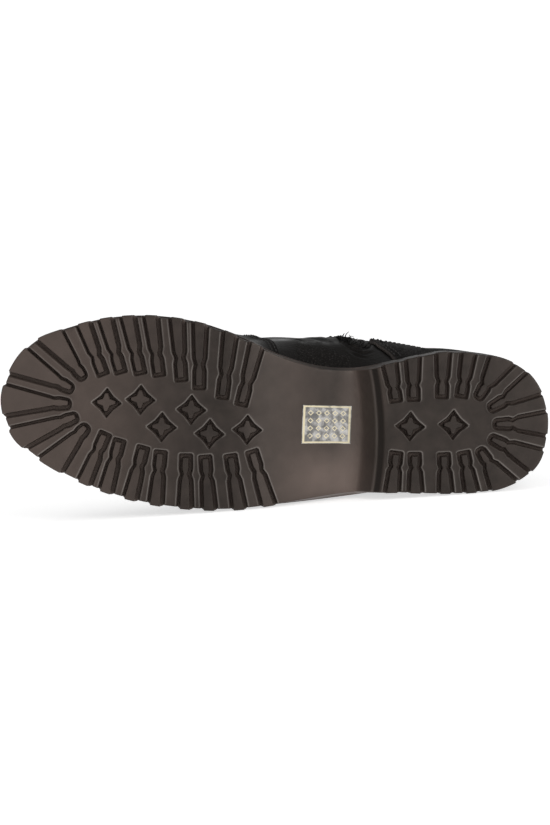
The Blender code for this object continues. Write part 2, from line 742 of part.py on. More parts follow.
def make_slider():
    """The slider's plate with two posts and the pin that the pull tab turns on."""
    half = SLIDER_LENGTH / 2
    wide = SLIDER_HEAD / 2
    body = [
        (-SLIDER_TAIL / 2, -half),
        (SLIDER_TAIL / 2, -half),
        (wide, half * SLIDER_WIDEST),
        (wide, half * SLIDER_CORNER_AT),
        (wide - SLIDER_CORNER, half),
        (-wide + SLIDER_CORNER, half),
        (-wide, half * SLIDER_CORNER_AT),
        (-wide, half * SLIDER_WIDEST),
    ]
    slider = plate("zip_slider", [body], 0.0, SLIDER_THICKNESS)
    low = SLIDER_THICKNESS - POST_SINK
    high = PIN_Z + PIN_RADIUS + POST_ABOVE
    post = [
        (PIN_Y - POST_LENGTH / 2, low),
        (PIN_Y + POST_LENGTH / 2, low),
        (PIN_Y + POST_LENGTH / 2, high),
        (PIN_Y - POST_LENGTH / 2, high),
    ]
    inner = PIN_SPAN / 2 - POST_WIDTH
    for low_x, high_x in ((-PIN_SPAN / 2, -inner), (inner, PIN_SPAN / 2)):
        combined(slider, plate("post", [post], low_x, high_x, EDGEWAYS), "UNION")
    pin = [point + Vector((PIN_Y, PIN_Z)) for point in circle(PIN_RADIUS, ROUND_STEPS)]
    reach = inner + POST_WIDTH / 2
    return combined(slider, plate("pin", [pin], -reach, reach, EDGEWAYS), "UNION")


def make_pull():
    """The pull tab, with its origin on the pin: an eye and a flat tab that hangs down the zip."""
    half = PULL_THICKNESS / 2
    pull = plate("zip_pull", [circle(EYE_RADIUS, ROUND_STEPS), circle(EYE_HOLE, ROUND_STEPS)],
                 -EYE_WIDTH / 2, EYE_WIDTH / 2, EDGEWAYS)
    neck = EYE_WIDTH / 2
    wide = PULL_WIDTH / 2
    start = -(EYE_HOLE + EYE_RADIUS) / 2
    tab = [
        (-neck, start),
        (-neck, -PULL_NECK),
        (-wide, -PULL_FLARE),
        (-wide, -PULL_LENGTH + PULL_CORNER),
        (-wide + PULL_CORNER, -PULL_LENGTH),
        (wide - PULL_CORNER, -PULL_LENGTH),
        (wide, -PULL_LENGTH + PULL_CORNER),
        (wide, -PULL_FLARE),
        (neck, -PULL_NECK),
        (neck, start),
    ]
    return combined(pull, plate("tab", [tab], -half, half), "UNION")


def lying_down(parts):
    """The turn and place that lay the boot on its outer side, over the face under its balance point."""
    hull = bmesh.new()
    for item in parts:
        for vertex in item.data.vertices:
            hull.verts.new(vertex.co)
    bmesh.ops.convex_hull(hull, input=hull.verts)
    down = Vector((0.0, -1.0, 0.0))
    for face in hull.faces:
        corners = [vertex.co for vertex in face.verts]
        if face.normal.y < 0.0 and intersect_ray_tri(*corners[:3], down, BALANCE):
            floor = face.normal.copy()
            break
    hull.free()
    up = -floor
    towards_toe = Vector((1.0, 0.0, 0.0))
    world_x = -(towards_toe - up * up.dot(towards_toe)).normalized()
    turn = Matrix((world_x, up.cross(world_x), up)).to_4x4()
    corners = [turn @ vertex.co for item in parts for vertex in item.data.vertices]
    low = Vector([min(c[axis] for c in corners) for axis in range(3)])
    high = Vector([max(c[axis] for c in corners) for axis in range(3)])
    middle = (low + high) / 2
    return Matrix.Translation((-middle.x, -middle.y, -low.z)) @ turn


def finish(item, parent, frame=Matrix()):
    """Scale a part to metres, hang it on its parent, and give it its material."""
    look = FINISHES[item.name]
    material = bpy.data.materials.new(item.name)
    material.use_nodes = True
    shader = material.node_tree.nodes["Principled BSDF"]
    shader.inputs["Base Color"].default_value = (*look.color, 1.0)
    shader.inputs["Roughness"].default_value = look.roughness
    shader.inputs["Metallic"].default_value = look.metallic
    item.data.materials.clear()
    item.data.materials.append(material)
    item.data.transform(Matrix.Scale(MM, 4))
    item.data.shade_smooth()
    item.data.set_sharp_from_angle(angle=SHARP_ANGLE)
    item.hide_render = False
    item.display_type = "TEXTURED"
    CUTTERS.objects.unlink(item)
    PARTS.objects.link(item)
    item.parent = parent
    frame = frame.copy()
    frame.translation *= MM
    item.matrix_local = frame


def main():
    """Build every piece, lay the boot on its side and hang the pieces on one empty."""
    soft = [make_outsole(), make_insole(), make_upper(), make_vamp(), make_counter(), make_zip_tape()]
    soft.append(make_zip_teeth())
    rest = lying_down(soft)
    rest.translation *= MM
    root = bpy.data.objects.new("boot_on_its_side", None)
    PARTS.objects.link(root)
    root.matrix_world = rest
    for item in soft:
        finish(item, root)
    frame = slider_place()
    finish(make_slider(), root, frame)
    hinge = frame @ Matrix.Translation((0.0, PIN_Y, PIN_Z))
    finish(make_pull(), root, hinge @ Matrix.Rotation(math.radians(PULL_DROP_DEG), 4, "X"))
    bpy.context.view_layer.update()


for leftover in list(bpy.data.objects):
    bpy.data.objects.remove(leftover)
PARTS = bpy.data.collections.new("ankle_boot")
CUTTERS = bpy.data.collections.new("ankle_boot_cutters")
for group in (PARTS, CUTTERS):
    bpy.context.scene.collection.children.link(group)
main()
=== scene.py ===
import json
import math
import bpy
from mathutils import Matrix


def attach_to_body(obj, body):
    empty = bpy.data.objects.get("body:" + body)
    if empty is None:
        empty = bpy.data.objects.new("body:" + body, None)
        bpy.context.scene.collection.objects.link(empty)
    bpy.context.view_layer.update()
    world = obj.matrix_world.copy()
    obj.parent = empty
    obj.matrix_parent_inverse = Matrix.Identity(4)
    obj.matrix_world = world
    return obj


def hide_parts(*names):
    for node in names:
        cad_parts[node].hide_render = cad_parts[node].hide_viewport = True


bl_info = {
    "name": "Ankle Boot Looks",
    "version": (1, 0, 0),
    "blender": (4, 5, 0),
    "location": "View3D > Sidebar > Boot",
    "description": "Dresses a lug-soled ankle boot in rubber, leather, zip and thread, on a pale floor",
    "category": "Object",
}

from collections import namedtuple

import bmesh
import bpy
import numpy as np
from bpy.props import FloatProperty, FloatVectorProperty, PointerProperty
from bpy.types import Operator, Panel, PropertyGroup
from mathutils import Matrix, Vector
from mathutils.bvhtree import BVHTree
from mathutils.geometry import delaunay_2d_cdt

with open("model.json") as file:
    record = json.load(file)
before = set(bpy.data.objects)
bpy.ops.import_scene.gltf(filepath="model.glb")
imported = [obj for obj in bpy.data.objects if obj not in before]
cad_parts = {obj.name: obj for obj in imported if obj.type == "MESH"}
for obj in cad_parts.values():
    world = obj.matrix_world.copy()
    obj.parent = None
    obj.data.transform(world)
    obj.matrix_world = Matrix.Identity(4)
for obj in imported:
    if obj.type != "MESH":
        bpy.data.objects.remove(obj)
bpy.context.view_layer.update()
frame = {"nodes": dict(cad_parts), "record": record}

# Sizes in millimetres, in the boot's frame: X heel to toe, Y to the inner side, Z up from the tread
MM = 0.001
WELD = 1e-6
SLIVER = 1e-7
SEAT_GAP = 0.3
SOLE_LENGTH = 268.4
TOE_TIP_Y = 1.5
FOREFOOT_FACE = (183.0, 5.0, 0.0)
HEEL_FACE = (56.8, -3.0, 0.0)
OUTLINE = (
    # x, medial, lateral
    (3, 14.0, 18.0), (10, 24.2, 26.3), (22, 31.0, 32.7), (36, 33.1, 35.2),
    (52, 33.4, 36.3), (74, 28.4, 37.3), (93, 23.8, 40.3), (112, 24.0, 43.1),
    (131, 28.6, 45.5), (151, 36.8, 48.1), (170, 42.8, 48.7), (193, 45.7, 46.9),
    (217, 43.8, 41.4), (240, 37.0, 32.2), (252, 31.5, 25.1), (262, 21.0, 16.8),
)
PROFILE = np.array((
    # x, bottom, top
    (0, 0.0, 33.0), (40, 0.0, 31.0), (79, 0.0, 29.4), (83, 6.0, 29.1), (90, 19.5, 28.3),
    (98, 18.0, 26.6), (106, 15.4, 24.4), (114, 12.0, 21.8), (122, 8.2, 19.2), (130, 4.6, 16.8),
    (138, 1.9, 14.8), (147, 0.3, 13.3), (156, 0.0, 12.6), (192, 0.0, 12.5), (206, 0.6, 13.1),
    (220, 1.9, 14.4), (246, 5.4, 17.9), (258, 7.4, 19.9), (SOLE_LENGTH, 9.2, 21.7),
))
SLAB_HEIGHT = 12.5
RAND_HEIGHT = 3.0
RAND_FROM = SLAB_HEIGHT - RAND_HEIGHT
RIB_DEPTH = 1.0
RIB_RAMP = 1.8
RIB_SHARE_X = (60.0, 115.0, 150.0)
RIB_SHARE = (0.35, 0.5, 1.0)
MEDIAL_DRAFT = 1.0
LATERAL_DRAFT = 1.9
DRAFT_X = 100.0
DRAFT_REACH = 26.9
BREAST_BOW = 2.6
BREAST_BOW_Y = -16.0
BREAST_BOW_REACH = 30.0
BREAST_X = 83.0
BREAST_FLAT = 4.0
BREAST_FADE = 17.0
BREAST_ROUNDS = 6
BREAST_LINES = (79.0, 83.0, 90.0)
BREAST_CUTS = (-1.0, -0.5, -0.15, 0.15, 0.5, 1.0)
BREAST_Y = np.arange(-48.0, 49.0, 3.0)
RIDGE_BEAD = 0.25
RIDGE_LIGHT = 0.35
EASE_X = (70.0, 75.0, 86.0, 89.0, 94.0, 101.0)
EASE_REACH = (4.0, 0.5, 0.5, 2.4, 2.8, 4.0)

# Tread
LUG_DEPTH = 3.6
GROOVE = 2.0
OVERRUN = 4.0
# Share of a lug's length from its head, and half-width: head, shoulder, neck and belly
BOTTLE = ((0.0, 1.35), (0.28, 1.45), (0.37, 0.75), (0.47, 1.75))
TOE_WEDGE = ((0.0, 0.7), (0.18, 1.6), (0.26, 1.3), (0.33, 2.0))
HEEL_WEDGE = ((0.0, 0.7), (0.30, 1.4), (0.37, 0.9), (0.46, 2.3))
BOTTLE_EDGE = 2.45
MEDIAL_BOTTLES = (
    # edge x, head x, head y
    (228.5, 217.5, 15.3), (217.8, 208.9, 16.6), (206.9, 199.4, 16.5), (195.6, 190.3, 15.9),
    (182.8, 179.4, 13.9), (171.5, 170.7, 10.3), (156.6, 159.4, 6.1), (143.6, 150.2, 3.0),
    (78.6, 74.4, 7.8), (67.4, 66.1, 8.6), (52.7, 52.4, 10.4), (40.3, 43.1, 11.0),
)
LATERAL_BOTTLES = (
    (225.7, 215.4, -12.1), (214.7, 208.4, -15.0), (202.6, 196.7, -18.0), (190.0, 188.3, -19.8),
    (175.4, 176.0, -21.1), (163.6, 166.7, -21.4), (149.0, 154.5, -20.4), (134.6, 144.2, -18.1),
    (74.9, 73.4, -16.2), (63.3, 64.6, -16.3), (48.6, 50.4, -15.8), (35.9, 40.9, -14.6),
)
TOE_WEDGES = (
    # edge x, edge y, head x, head y, half width at the edge
    (245.2, 34.3, 226.8, 12.9, 5.8), (260.4, 20.9, 232.1, 7.4, 6.8), (266.9, 1.0, 232.9, 0.7, 7.0),
    (259.5, -17.8, 229.2, -4.9, 5.2), (242.1, -29.9, 224.3, -8.9, 5.8),
)
HEEL_WEDGES = (
    (24.3, 30.4, 35.4, 10.6, 5.3), (7.7, 19.8, 29.7, 5.9, 5.5), (0.5, 0.2, 27.2, -1.0, 5.0),
    (4.7, -18.3, 28.9, -7.5, 5.3), (20.3, -31.7, 33.6, -12.8, 6.0),
)
DIAMONDS = (
    (215.6, 2.1), (199.1, 4.3), (188.3, -8.6), (174.2, 0.4), (164.9, -11.0), (146.6, -8.4),
    (67.3, -3.7), (46.3, -2.1),
)
# Reach, waist and where the tips are cut off
RECESS = (7.3, 4.55, 7.1)
STAR = (6.4, 2.35, 4.4)
STAR_WAY = (0.8, 0.8)
BOTTLE_ROUND = 0.9
WEDGE_ROUND = 2.2
LUG_ROUND = 0.4
# How far a lug sits off the middle of its groove, by its place along the sole, and the way that it does
OFF_MIDDLE_X = (140.0, 190.0, 230.0)
OFF_MIDDLE = (0.0, 0.3, 0.45)
OFF_MIDDLE_WAY = (0.6, 0.8)

# How light the tread is painted along the sole and on the lower side of the waist: partly wear and dust,
# partly painted light, lightest on the waist's slope by the heel breast where light falls on it
WEAR_AND_LIGHT_X = (0.0, 40.0, 78.0, 92.0, 104.0, 125.0, 146.0, 160.0, 180.0, 200.0, 217.0, 240.0, 268.0)
WEAR_AND_LIGHT = (0.10, 0.06, 0.05, 0.62, 0.10, 0.31, 0.12, 0.04, 0.12, 0.24, 0.42, 0.46, 0.48)
# A painted pool of light on the lower side of the waist
LOW_WAIST_LIGHT = 0.8
LOW_WAIST_LIGHT_AT = (106.0, -31.0)
LOW_WAIST_LIGHT_REACH = (17.0, 13.0)

# How light the rims of the grooves are along the sole, by the way that the wall below them faces
LIT_X = (0.0, 90.0, 150.0, 200.0, 268.0)
LIT_TO_HEEL = (0.15, 0.25, 0.60, 0.75, 0.80)
LIT_TO_TOE = (0.80, 0.80, 0.75, 0.35, 0.20)
LIT_DOWN = (0.70, 0.70, 0.70, 0.60, 0.50)

# Sections of a groove, how far into it against how deep: the drafted outer wall and the steep lug
OUTER_INTO = (-1.15, -0.80, -0.50, -0.25, -0.10, 0.02, 0.20, 0.40, 0.60)
OUTER_DEEP = (0.0, -0.08, -0.14, -0.06, 0.22, 0.80, 2.10, 3.20, LUG_DEPTH)
LUG_INTO = (-0.30, -0.14, -0.03, 0.06, 0.20, 0.34)
LUG_DEEP = (0.0, 0.05, 0.25, 0.80, 3.20, LUG_DEPTH)

# The light rims: how far into a groove they lie, their width, and how much those lose that face inwards
RIM_MIDDLE = -0.42
RIM_REACH = 0.27
RIM_LOSS = 0.8
SLOPE_STEP = 0.05

# Shade on level rubber: in narrow strips between two grooves, and on the facets of the breast
LEVEL_DEPTH = 0.5
STRIP_SHADE = 0.4
STRIP_GAP = 5.0
STRIP_FADE = 2.5
FACET_FROM = 79.0
FACET_TO = 86.5
FACET_FADE = 7.5
HEEL_FACET_MORE = 0.5
RIDGE_REACH = 0.5

# The sole's side above the tread's rounded edge
ROUND_SHARE = 0.29
SIDE_LEAST = 0.1
SIDE_FROM = 4.5
SIDE_SECTIONS = (
    # inset, share of the ribs' relief, height, painted highlight on the edge
    (0.0, 1.0, 5.8, 0.0), (0.0, 1.0, 7.2, 0.0), (0.0, 1.0, 8.6, 0.0), (0.1, 0.9, 9.0, 0.0),
    (0.75, 0.3, 9.3, 0.0), (0.85, 0.1, 9.5, 0.0), (0.45, 0.0, 9.75, 0.0), (0.3, 0.0, 10.1, 0.0),
    (0.3, 0.0, 11.9, 0.1), (0.42, 0.0, 12.3, 0.5), (0.8, 0.0, SLAB_HEIGHT, 0.2),
    (3.0, 0.0, SLAB_HEIGHT, 0.0), (8.0, 0.0, SLAB_HEIGHT, 0.0),
)

# Spacing of the sole's points: along its edge, over the tread clear of the grooves, and over its top
EDGE_SPACING = 1.1
EDGE_LEAST = 0.15
TREAD_SPACING = 3.2
TREAD_CLEAR = 1.6
TOP_SPACING = 6.0
LINE_SPACING = 3.0
SOLE_SHARP = math.radians(40.0)

# The last: rings from the feather edge to the collar
RINGS = np.array((
    # front x, front z, back x, back z, scale, fill, oval, medial, lateral, sag
    (264.8, 21.6, 3.6, 33.3, 0.93, 0.00, 0.00, 37.0, 36.0, 1.0),
    (266.4, 29.0, 1.4, 41.0, 0.95, 0.45, 0.00, 37.0, 36.0, 1.0),
    (262.5, 38.0, 0.6, 49.0, 0.95, 0.85, 0.03, 37.0, 36.0, 0.8),
    (250.0, 46.0, 0.8, 57.0, 0.94, 1.00, 0.10, 37.5, 36.0, 0.5),
    (228.0, 54.5, 2.2, 64.5, 0.92, 1.00, 0.28, 37.5, 36.0, 0.2),
    (202.0, 65.0, 4.4, 73.0, 0.86, 1.00, 0.55, 37.0, 35.5, 0.0),
    (176.0, 78.5, 7.0, 83.0, 0.80, 1.00, 0.80, 35.5, 35.0, 0.0),
    (155.0, 92.0, 9.0, 96.0, 0.80, 1.00, 1.00, 33.0, 35.0, 0.0),
    (139.5, 108.0, 10.5, 111.0, 0.80, 1.00, 1.00, 31.0, 35.5, 0.0),
    (129.0, 130.0, 10.5, 132.0, 0.80, 1.00, 1.00, 29.5, 36.3, 0.0),
    (122.0, 156.0, 8.5, 158.0, 0.80, 1.00, 1.00, 29.0, 36.8, 0.0),
))
LATERAL_TUCK = 0.97
FILL_DEPTH = 16.5
FILL_AT = 0.60
FILL_REACH = 0.13
TUCK_DEPTH = 6.0
TUCK_X = 152.0
TUCK_REACH = 16.0
WALL = 2.0
OVERLAY = 1.2
VAMP_SEAM = ((133.0, 0.0), (134.0, 24.0), (140.0, 44.0), (148.0, 64.0), (168.0, 100.0))
COUNTER_SEAM = (
    (74.0, 0.0), (75.5, 32.0), (80.0, 42.0), (86.0, 52.0),
    (86.0, 62.0), (72.0, 76.0), (44.0, 86.0), (0.0, 90.0),
)
FAR = 60.0
INSOLE_INSET = 7.8
INSOLE_THICKNESS = 3.0
INSOLE_EDGE = 1.2
INSOLE_DISH = 0.9
INSOLE_PAD = 0.5
# Inset and height of the footbed's rounded side
INSOLE_SIDE = ((0.35, 2.7), (0.0, 2.0), (0.0, 0.8), (0.3, 0.0))
COLLAR_RISE = 0.55
OVERLAY_THINNING = 0.8
OVERLAY_EDGE = 0.3
OVERLAY_SHARP = math.radians(60.0)

# Zip
ZIP_FOOT = np.array((101.5, 58.0))
ZIP_HEAD = np.array((84.0, 170.0))
ZIP_ALONG = (ZIP_HEAD - ZIP_FOOT) / np.linalg.norm(ZIP_HEAD - ZIP_FOOT)
ZIP_ACROSS = np.array((-ZIP_ALONG[1], ZIP_ALONG[0]))
SLOT_WIDTH = 9.0
SLOT_Y = 6.0
SLOT_STEPS = 25
TAPE_TOP = -0.6
TAPE_THICKNESS = 1.0
SLIDER_Z = 143.0
ZIP_TOP_Z = 155.4
TapeLayer = namedtuple("TapeLayer", "reach end_z top thickness bead")
TAPE_HALF = SLOT_WIDTH / 2 - SEAT_GAP
TAPE_LAYERS = (
    TapeLayer(TAPE_HALF, ZIP_TOP_Z, TAPE_TOP, TAPE_THICKNESS, 0.28),
    TapeLayer(TAPE_HALF + 4.0, ZIP_TOP_Z - 0.9, -WALL - 0.2, 0.4, 0.0),
)
TAPE_BEAD_AT = 3.1
TAPE_BEAD_REACH = 0.45
# A tooth in plan, from its tip to its root, and the lift and size of its layers
TOOTH = np.array((
    (-0.75, 0.0), (-0.45, 0.42), (0.5, 0.30), (1.2, 0.46), (2.3, 0.52),
    (2.3, -0.52), (1.2, -0.46), (0.5, -0.30), (-0.45, -0.42),
))
TOOTH_LAYERS = ((0.0, 1.0), (0.85, 1.0), (1.15, 0.72))
TOOTH_SEAT = 0.2
# How far the rows part: below the slider, and more for each stretch above it
PARTED_BELOW = 0.05
PARTED_MORE = 0.75
PARTED_STRETCH = 12.0

# Threads at the zip's foot: loose ones, ones that stand up (place, height, hook), and small folds
LOOSE_THREADS = 34
LOOSE_BELOW = 3.4
LOOSE_FROM = -2.2
LOOSE_WIDTH = 6.4
STANDING_THREADS = ((100.6, 2.6, 0.6), (99.4, 3.5, 1.6), (96.8, 2.2, -0.8), (94.8, 1.6, 0.7))
STANDING_Z = 49.5
FOLDS = 6
FOLD_FOOT = np.array((97.0, 43.0))
FOLD_STEP = np.array((-1.65, 0.4))
FOLD_WAY = (-2.6, 6.0)
THREAD_STEPS = 9
TUBE_SIDES = 7
NO_THREAD_WAY = (0.31, 0.17, 0.93)

# Stitches: share of the length, size and rise of each ring, and where the rows lie
STITCH_RINGS = np.array((
    (0.0, 0.25, -0.30), (0.12, 0.75, 0.0), (0.35, 1.0, 0.14),
    (0.65, 1.0, 0.14), (0.88, 0.75, 0.0), (1.0, 0.25, -0.30),
))
STITCH_SIDES = 6
STITCH_LENGTH = 2.1
STITCH_RADIUS = 0.36
STITCH_INSETS = (1.9, 4.1)
COLLAR_LEVEL = 0.972
COLLAR_TURNS = (0.205, 1.175)
ZIP_STITCH_WIDTH = SLOT_WIDTH + 4.6
ZIP_STITCH_TOP = 151.0

# Rounding of the metal
METAL_ROUND = 0.2
METAL_EDGE_ANGLE = math.radians(40.0)
FLAT_ANGLE = math.radians(0.5)

# Creases: side (1 medial, -1 lateral, 0 both), depth, width, and points in side view
Crease = namedtuple("Crease", "side depth width line")
CREASES = (
    Crease(1, 0.8, 1.5, ((94.5, 61.0), (91.5, 54.5), (94.0, 47.5), (100.5, 44.5))),
    Crease(1, 0.9, 1.7, ((91.0, 64.0), (86.0, 55.0), (88.5, 45.0), (96.5, 39.5))),
    Crease(1, 0.7, 1.8, ((88.0, 67.0), (80.5, 57.0), (82.0, 45.5))),
    Crease(1, 0.6, 1.6, ((107.5, 61.0), (110.5, 54.0), (107.0, 46.5))),
    Crease(1, 0.60, 0.8, ((101.0, 45.8), (96.5, 42.2), (91.5, 41.2), (87.0, 43.4))),
    Crease(1, 0.55, 0.8, ((101.5, 42.6), (96.0, 39.2), (90.0, 38.2), (85.0, 40.6))),
    Crease(1, 0.45, 0.8, ((99.5, 39.4), (94.5, 36.4), (88.5, 35.4))),
    Crease(1, 0.50, 0.7, ((129.0, 45.0), (124.5, 40.0), (119.8, 34.6))),
    Crease(1, 0.5, 2.0, ((127.0, 54.0), (117.0, 43.0), (106.0, 38.0))),
    Crease(0, 1.1, 4.0, ((149.0, 93.0), (134.0, 94.0), (118.0, 100.0))),
    Crease(0, 1.3, 4.2, ((140.0, 105.0), (126.0, 106.0), (109.0, 112.0))),
    Crease(0, 0.8, 4.0, ((133.5, 118.0), (121.0, 119.0), (108.0, 123.0))),
    Crease(0, 0.9, 3.6, ((8.0, 101.0), (24.0, 101.0), (40.0, 97.0))),
    Crease(0, 0.8, 3.6, ((9.0, 113.0), (26.0, 114.0), (44.0, 109.0))),
    Crease(0, 0.35, 3.2, ((196.0, 40.0), (188.0, 54.0), (184.0, 68.0))),
    Crease(0, 0.35, 3.2, ((184.0, 42.0), (176.0, 58.0), (172.0, 74.0))),
    Crease(0, 0.30, 3.0, ((172.0, 44.0), (165.0, 60.0), (160.0, 78.0))),
    Crease(-1, 0.6, 2.6, ((118.0, 62.0), (104.0, 52.0), (92.0, 49.0))),
)
CREASE_LIP = 0.4
INNER_FADE = 12.0

# Shiny places of the inner side, in side view: strength, width and points
Shine = namedtuple("Shine", "strength width line")
SHINES = (
    Shine(0.9, 3.4, ((137.0, 44.0), (129.0, 41.0), (122.0, 39.5))),
    Shine(1.0, 1.8, ((121.0, 35.5), (112.0, 38.0), (103.5, 41.5))),
)
# The grainy place by the waist, between smooth ones
GRAINY_X = (97.0, 124.0)
GRAINY_TOP = 35.5
GRAINY_FADE = 3.0
QUARTER_X = (66.0, 142.0)
QUARTER_TOP = 56.0
QUARTER_FADE = 6.0
SMOOTH = 0.45
PLAIN_SHINE = 0.35

# Leathers against the settings: tone, grain, bump, roughness, coat, specular level, the tone of the painted
# highlights on the pebbles, and the tone of the band along an overlay's edge, painted shade on the vamp and a
# painted highlight on the heel leather
Hide = namedtuple("Hide", "tone grain bump rough coat specular speck edge")
UPPER_HIDE = Hide(1.0, 1.05, 1.0, 0.30, 0.04, 0.13, 6.0, 1.0)
VAMP_HIDE = Hide(1.0, 1.35, 0.3, 0.30, 0.30, 0.14, 1.0, 0.2)
HEEL_HIDE = Hide(1.15, 1.0, 0.7, 0.42, 0.0, 0.09, 2.5, 14.0)
WARM_GLOSS = (1.0, 0.89, 0.81, 1.0)

# The foil on the waist: its corners in plan, and the corner that has lifted
FOIL_LOW = np.array((95.6, -15.0))
FOIL_HIGH = np.array((119.8, 4.6))
FOIL_LIFT = 0.06
FOIL_CURL = 0.5
FOIL_CURL_FADE = 5.0
FOIL_THICKNESS = 0.05

# Lights, in metres
KEY_PLACE = (1.3, -2.2, 0.7)
KEY_SIZE = 1.6
TOP_PLACE = (0.2, 0.1, 2.4)
TOP_ANGLE = math.radians(100.0)
LIGHTS_AIM = Vector((0.0, 0.0, 0.05))
SEEN_SKY = 1.05
FLOOR_RADIUS = 14.0

# Where the heel's back and the toe's tip stand in a picture of 550 by 825
PICTURE = (550, 825)
HEEL_BACK = ((0.0, 0.0, 2.0), (548.0, 424.0))
TOE_TIP = ((SOLE_LENGTH, TOE_TIP_Y, 12.0), (1.0, 399.2))
SENSOR = 36.0


def boot_frame():
    """The turn and place of the boot's own frame, from the two tread faces in the record."""
    mounts = {row["name"]: row for row in frame["record"]["mounts"]}
    ball = np.array(mounts["forefoot_tread_face"]["pos_m"])
    heel = np.array(mounts["heel_tread_face"]["pos_m"])
    up = -np.array(mounts["heel_tread_face"]["axis"])
    up /= np.linalg.norm(up)
    ahead = ball - heel
    ahead -= up * (ahead @ up)
    ahead /= np.linalg.norm(ahead)
    own = np.array(FOREFOOT_FACE) - np.array(HEEL_FACE)
    own /= np.linalg.norm(own)
    aside = np.cross(up, ahead)
    turn = np.column_stack((ahead * own[0] - aside * own[1], ahead * own[1] + aside * own[0], up))
    return turn, heel - turn @ np.array(HEEL_FACE) * MM


TURN, ORIGIN = boot_frame()


def placed(points):
    """Points of the boot's own frame, in millimetres, as points of the row's frame, in metres."""
    return np.asarray(points, float) * MM @ TURN.T + ORIGIN


def unit(vectors):
    """Vectors at a length of one."""
    return vectors / np.maximum(np.linalg.norm(vectors, axis=-1, keepdims=True), 1e-12)


def eased_step(value):
    """A step from 0 to 1 with soft ends."""
    value = np.clip(value, 0.0, 1.0)
    return value * value * (3.0 - 2.0 * value)


def inside_span(value, span, ease):
    """1 between two values, easing to 0 outside them."""
    return eased_step((value - span[0]) / ease + 0.5) * eased_step((span[1] - value) / ease + 0.5)


def smooth_loop(points, per_span):
    """A closed curve through the points, with knots spaced by the root of their distance."""
    points = np.asarray(points, float)
    count = len(points)
    share = np.arange(per_span)[:, None] / per_span
    made = []
    for i in range(count):
        p0, p1, p2, p3 = (points[(i + k - 1) % count] for k in range(4))
        t1 = math.sqrt(np.linalg.norm(p1 - p0))
        t2 = t1 + math.sqrt(np.linalg.norm(p2 - p1))
        t3 = t2 + math.sqrt(np.linalg.norm(p3 - p2))
        t = t1 + (t2 - t1) * share
        a1 = p0 + (p1 - p0) * (t / t1)
        a2 = p1 + (p2 - p1) * ((t - t1) / (t2 - t1))
        a3 = p2 + (p3 - p2) * ((t - t2) / (t3 - t2))
        b1 = a1 + (a2 - a1) * (t / t2)
        b2 = a2 + (a3 - a2) * ((t - t1) / (t3 - t1))
        made.append(b1 + (b2 - b1) * ((t - t1) / (t2 - t1)))
    return np.vstack(made)


def inside(polygon, points):
    """Which points lie inside a closed outline."""
    x, y = points.T
    found = np.zeros(len(points), bool)
    for (x0, y0), (x1, y1) in zip(polygon, np.roll(polygon, -1, 0)):
        if y0 != y1:
            crosses = (y0 > y) != (y1 > y)
            found ^= crosses & (x < (x1 - x0) * (y - y0) / (y1 - y0) + x0)
    return found


def line_distance(line, points):
    """How far points lie from an open line, and how far along it, from 0 to 1, the nearest spot is."""
    line = np.asarray(line, float)
    steps = np.linalg.norm(np.diff(line, axis=0), axis=1)
    marks = np.concatenate(([0.0], np.cumsum(steps)))
    best = np.full(len(points), np.inf)
    along = np.zeros(len(points))
    for start, end, mark, step in zip(line, line[1:], marks, steps):
        share = np.clip((points - start) @ (end - start) / step ** 2, 0.0, 1.0)
        gap = np.linalg.norm(points - start - share[:, None] * (end - start), axis=1)
        nearer = gap < best
        best[nearer] = gap[nearer]
        along[nearer] = (mark + share[nearer] * step) / marks[-1]
    return best, along


class Outline:
    """A closed plan line, read by the distance along it."""

    def __init__(self, points):
        self.points = points
        closed = np.vstack([points, points[:1]])
        self.marks = np.concatenate(([0.0], np.cumsum(np.linalg.norm(np.diff(closed, axis=0), axis=1))))
        self.length = self.marks[-1]
        self.closed = closed

    def spot(self, s):
        """The points at distances along the line."""
        s = np.asarray(s, float) % self.length
        return np.column_stack([np.interp(s, self.marks, self.closed[:, k]) for k in (0, 1)])

    def inward(self, s):
        """The directions that point into the outline."""
        along = unit(self.spot(s + 0.4) - self.spot(s - 0.4))
        return np.column_stack((along[:, 1], -along[:, 0]))

    def at(self, s, inset):
        """The points at distances along the line, moved inwards."""
        return self.spot(s) + self.inward(s) * np.broadcast_to(inset, np.shape(s))[:, None]

    def nearest(self, points):
        """The distance along the line that lies closest to each point."""
        gaps = ((points[:, None, :] - self.points[None, :, :]) ** 2).sum(axis=2)
        s = self.marks[gaps.argmin(axis=1)]
        along = unit(self.spot(s + 0.4) - self.spot(s - 0.4))
        return s + ((points - self.spot(s)) * along).sum(axis=1)


def sole_outline():
    """The sole's plan, from the heel along the medial side to the toe and back."""
    medial = [(x, y) for x, y, _ in OUTLINE]
    lateral = [(x, -y) for x, _, y in reversed(OUTLINE)]
    return Outline(smooth_loop([(0.0, 0.0)] + medial + [(SOLE_LENGTH, TOE_TIP_Y)] + lateral, 60))


SOLE = sole_outline()
HALF_WAY = len(SOLE.points) // 2
MEDIAL_LINE = SOLE.points[:HALF_WAY + 1]
LATERAL_LINE = np.vstack([SOLE.points[HALF_WAY:], SOLE.points[:1]])[::-1] * (1.0, -1.0)


def medial_edge(x):
    """Distance of the medial edge from the middle line."""
    return np.interp(x, MEDIAL_LINE[:, 0], MEDIAL_LINE[:, 1])


def lateral_edge(x):
    """Distance of the lateral edge from the middle line."""
    return np.interp(x, LATERAL_LINE[:, 0], LATERAL_LINE[:, 1])


def profile(column, x):
    """A line of the side profile with its corners eased: tightly at the breast, gently elsewhere."""
    reach = np.interp(x, EASE_X, EASE_REACH)
    reads = [np.interp(x + reach * k, PROFILE[:, 0], PROFILE[:, column]) for k in np.linspace(-1, 1, 9)]
    return np.mean(reads, axis=0)


def sole_bottom(x):
    """Height of the tread."""
    return profile(1, x)


def sole_top(x):
    """Height of the sole's upper face."""
    return profile(2, x)


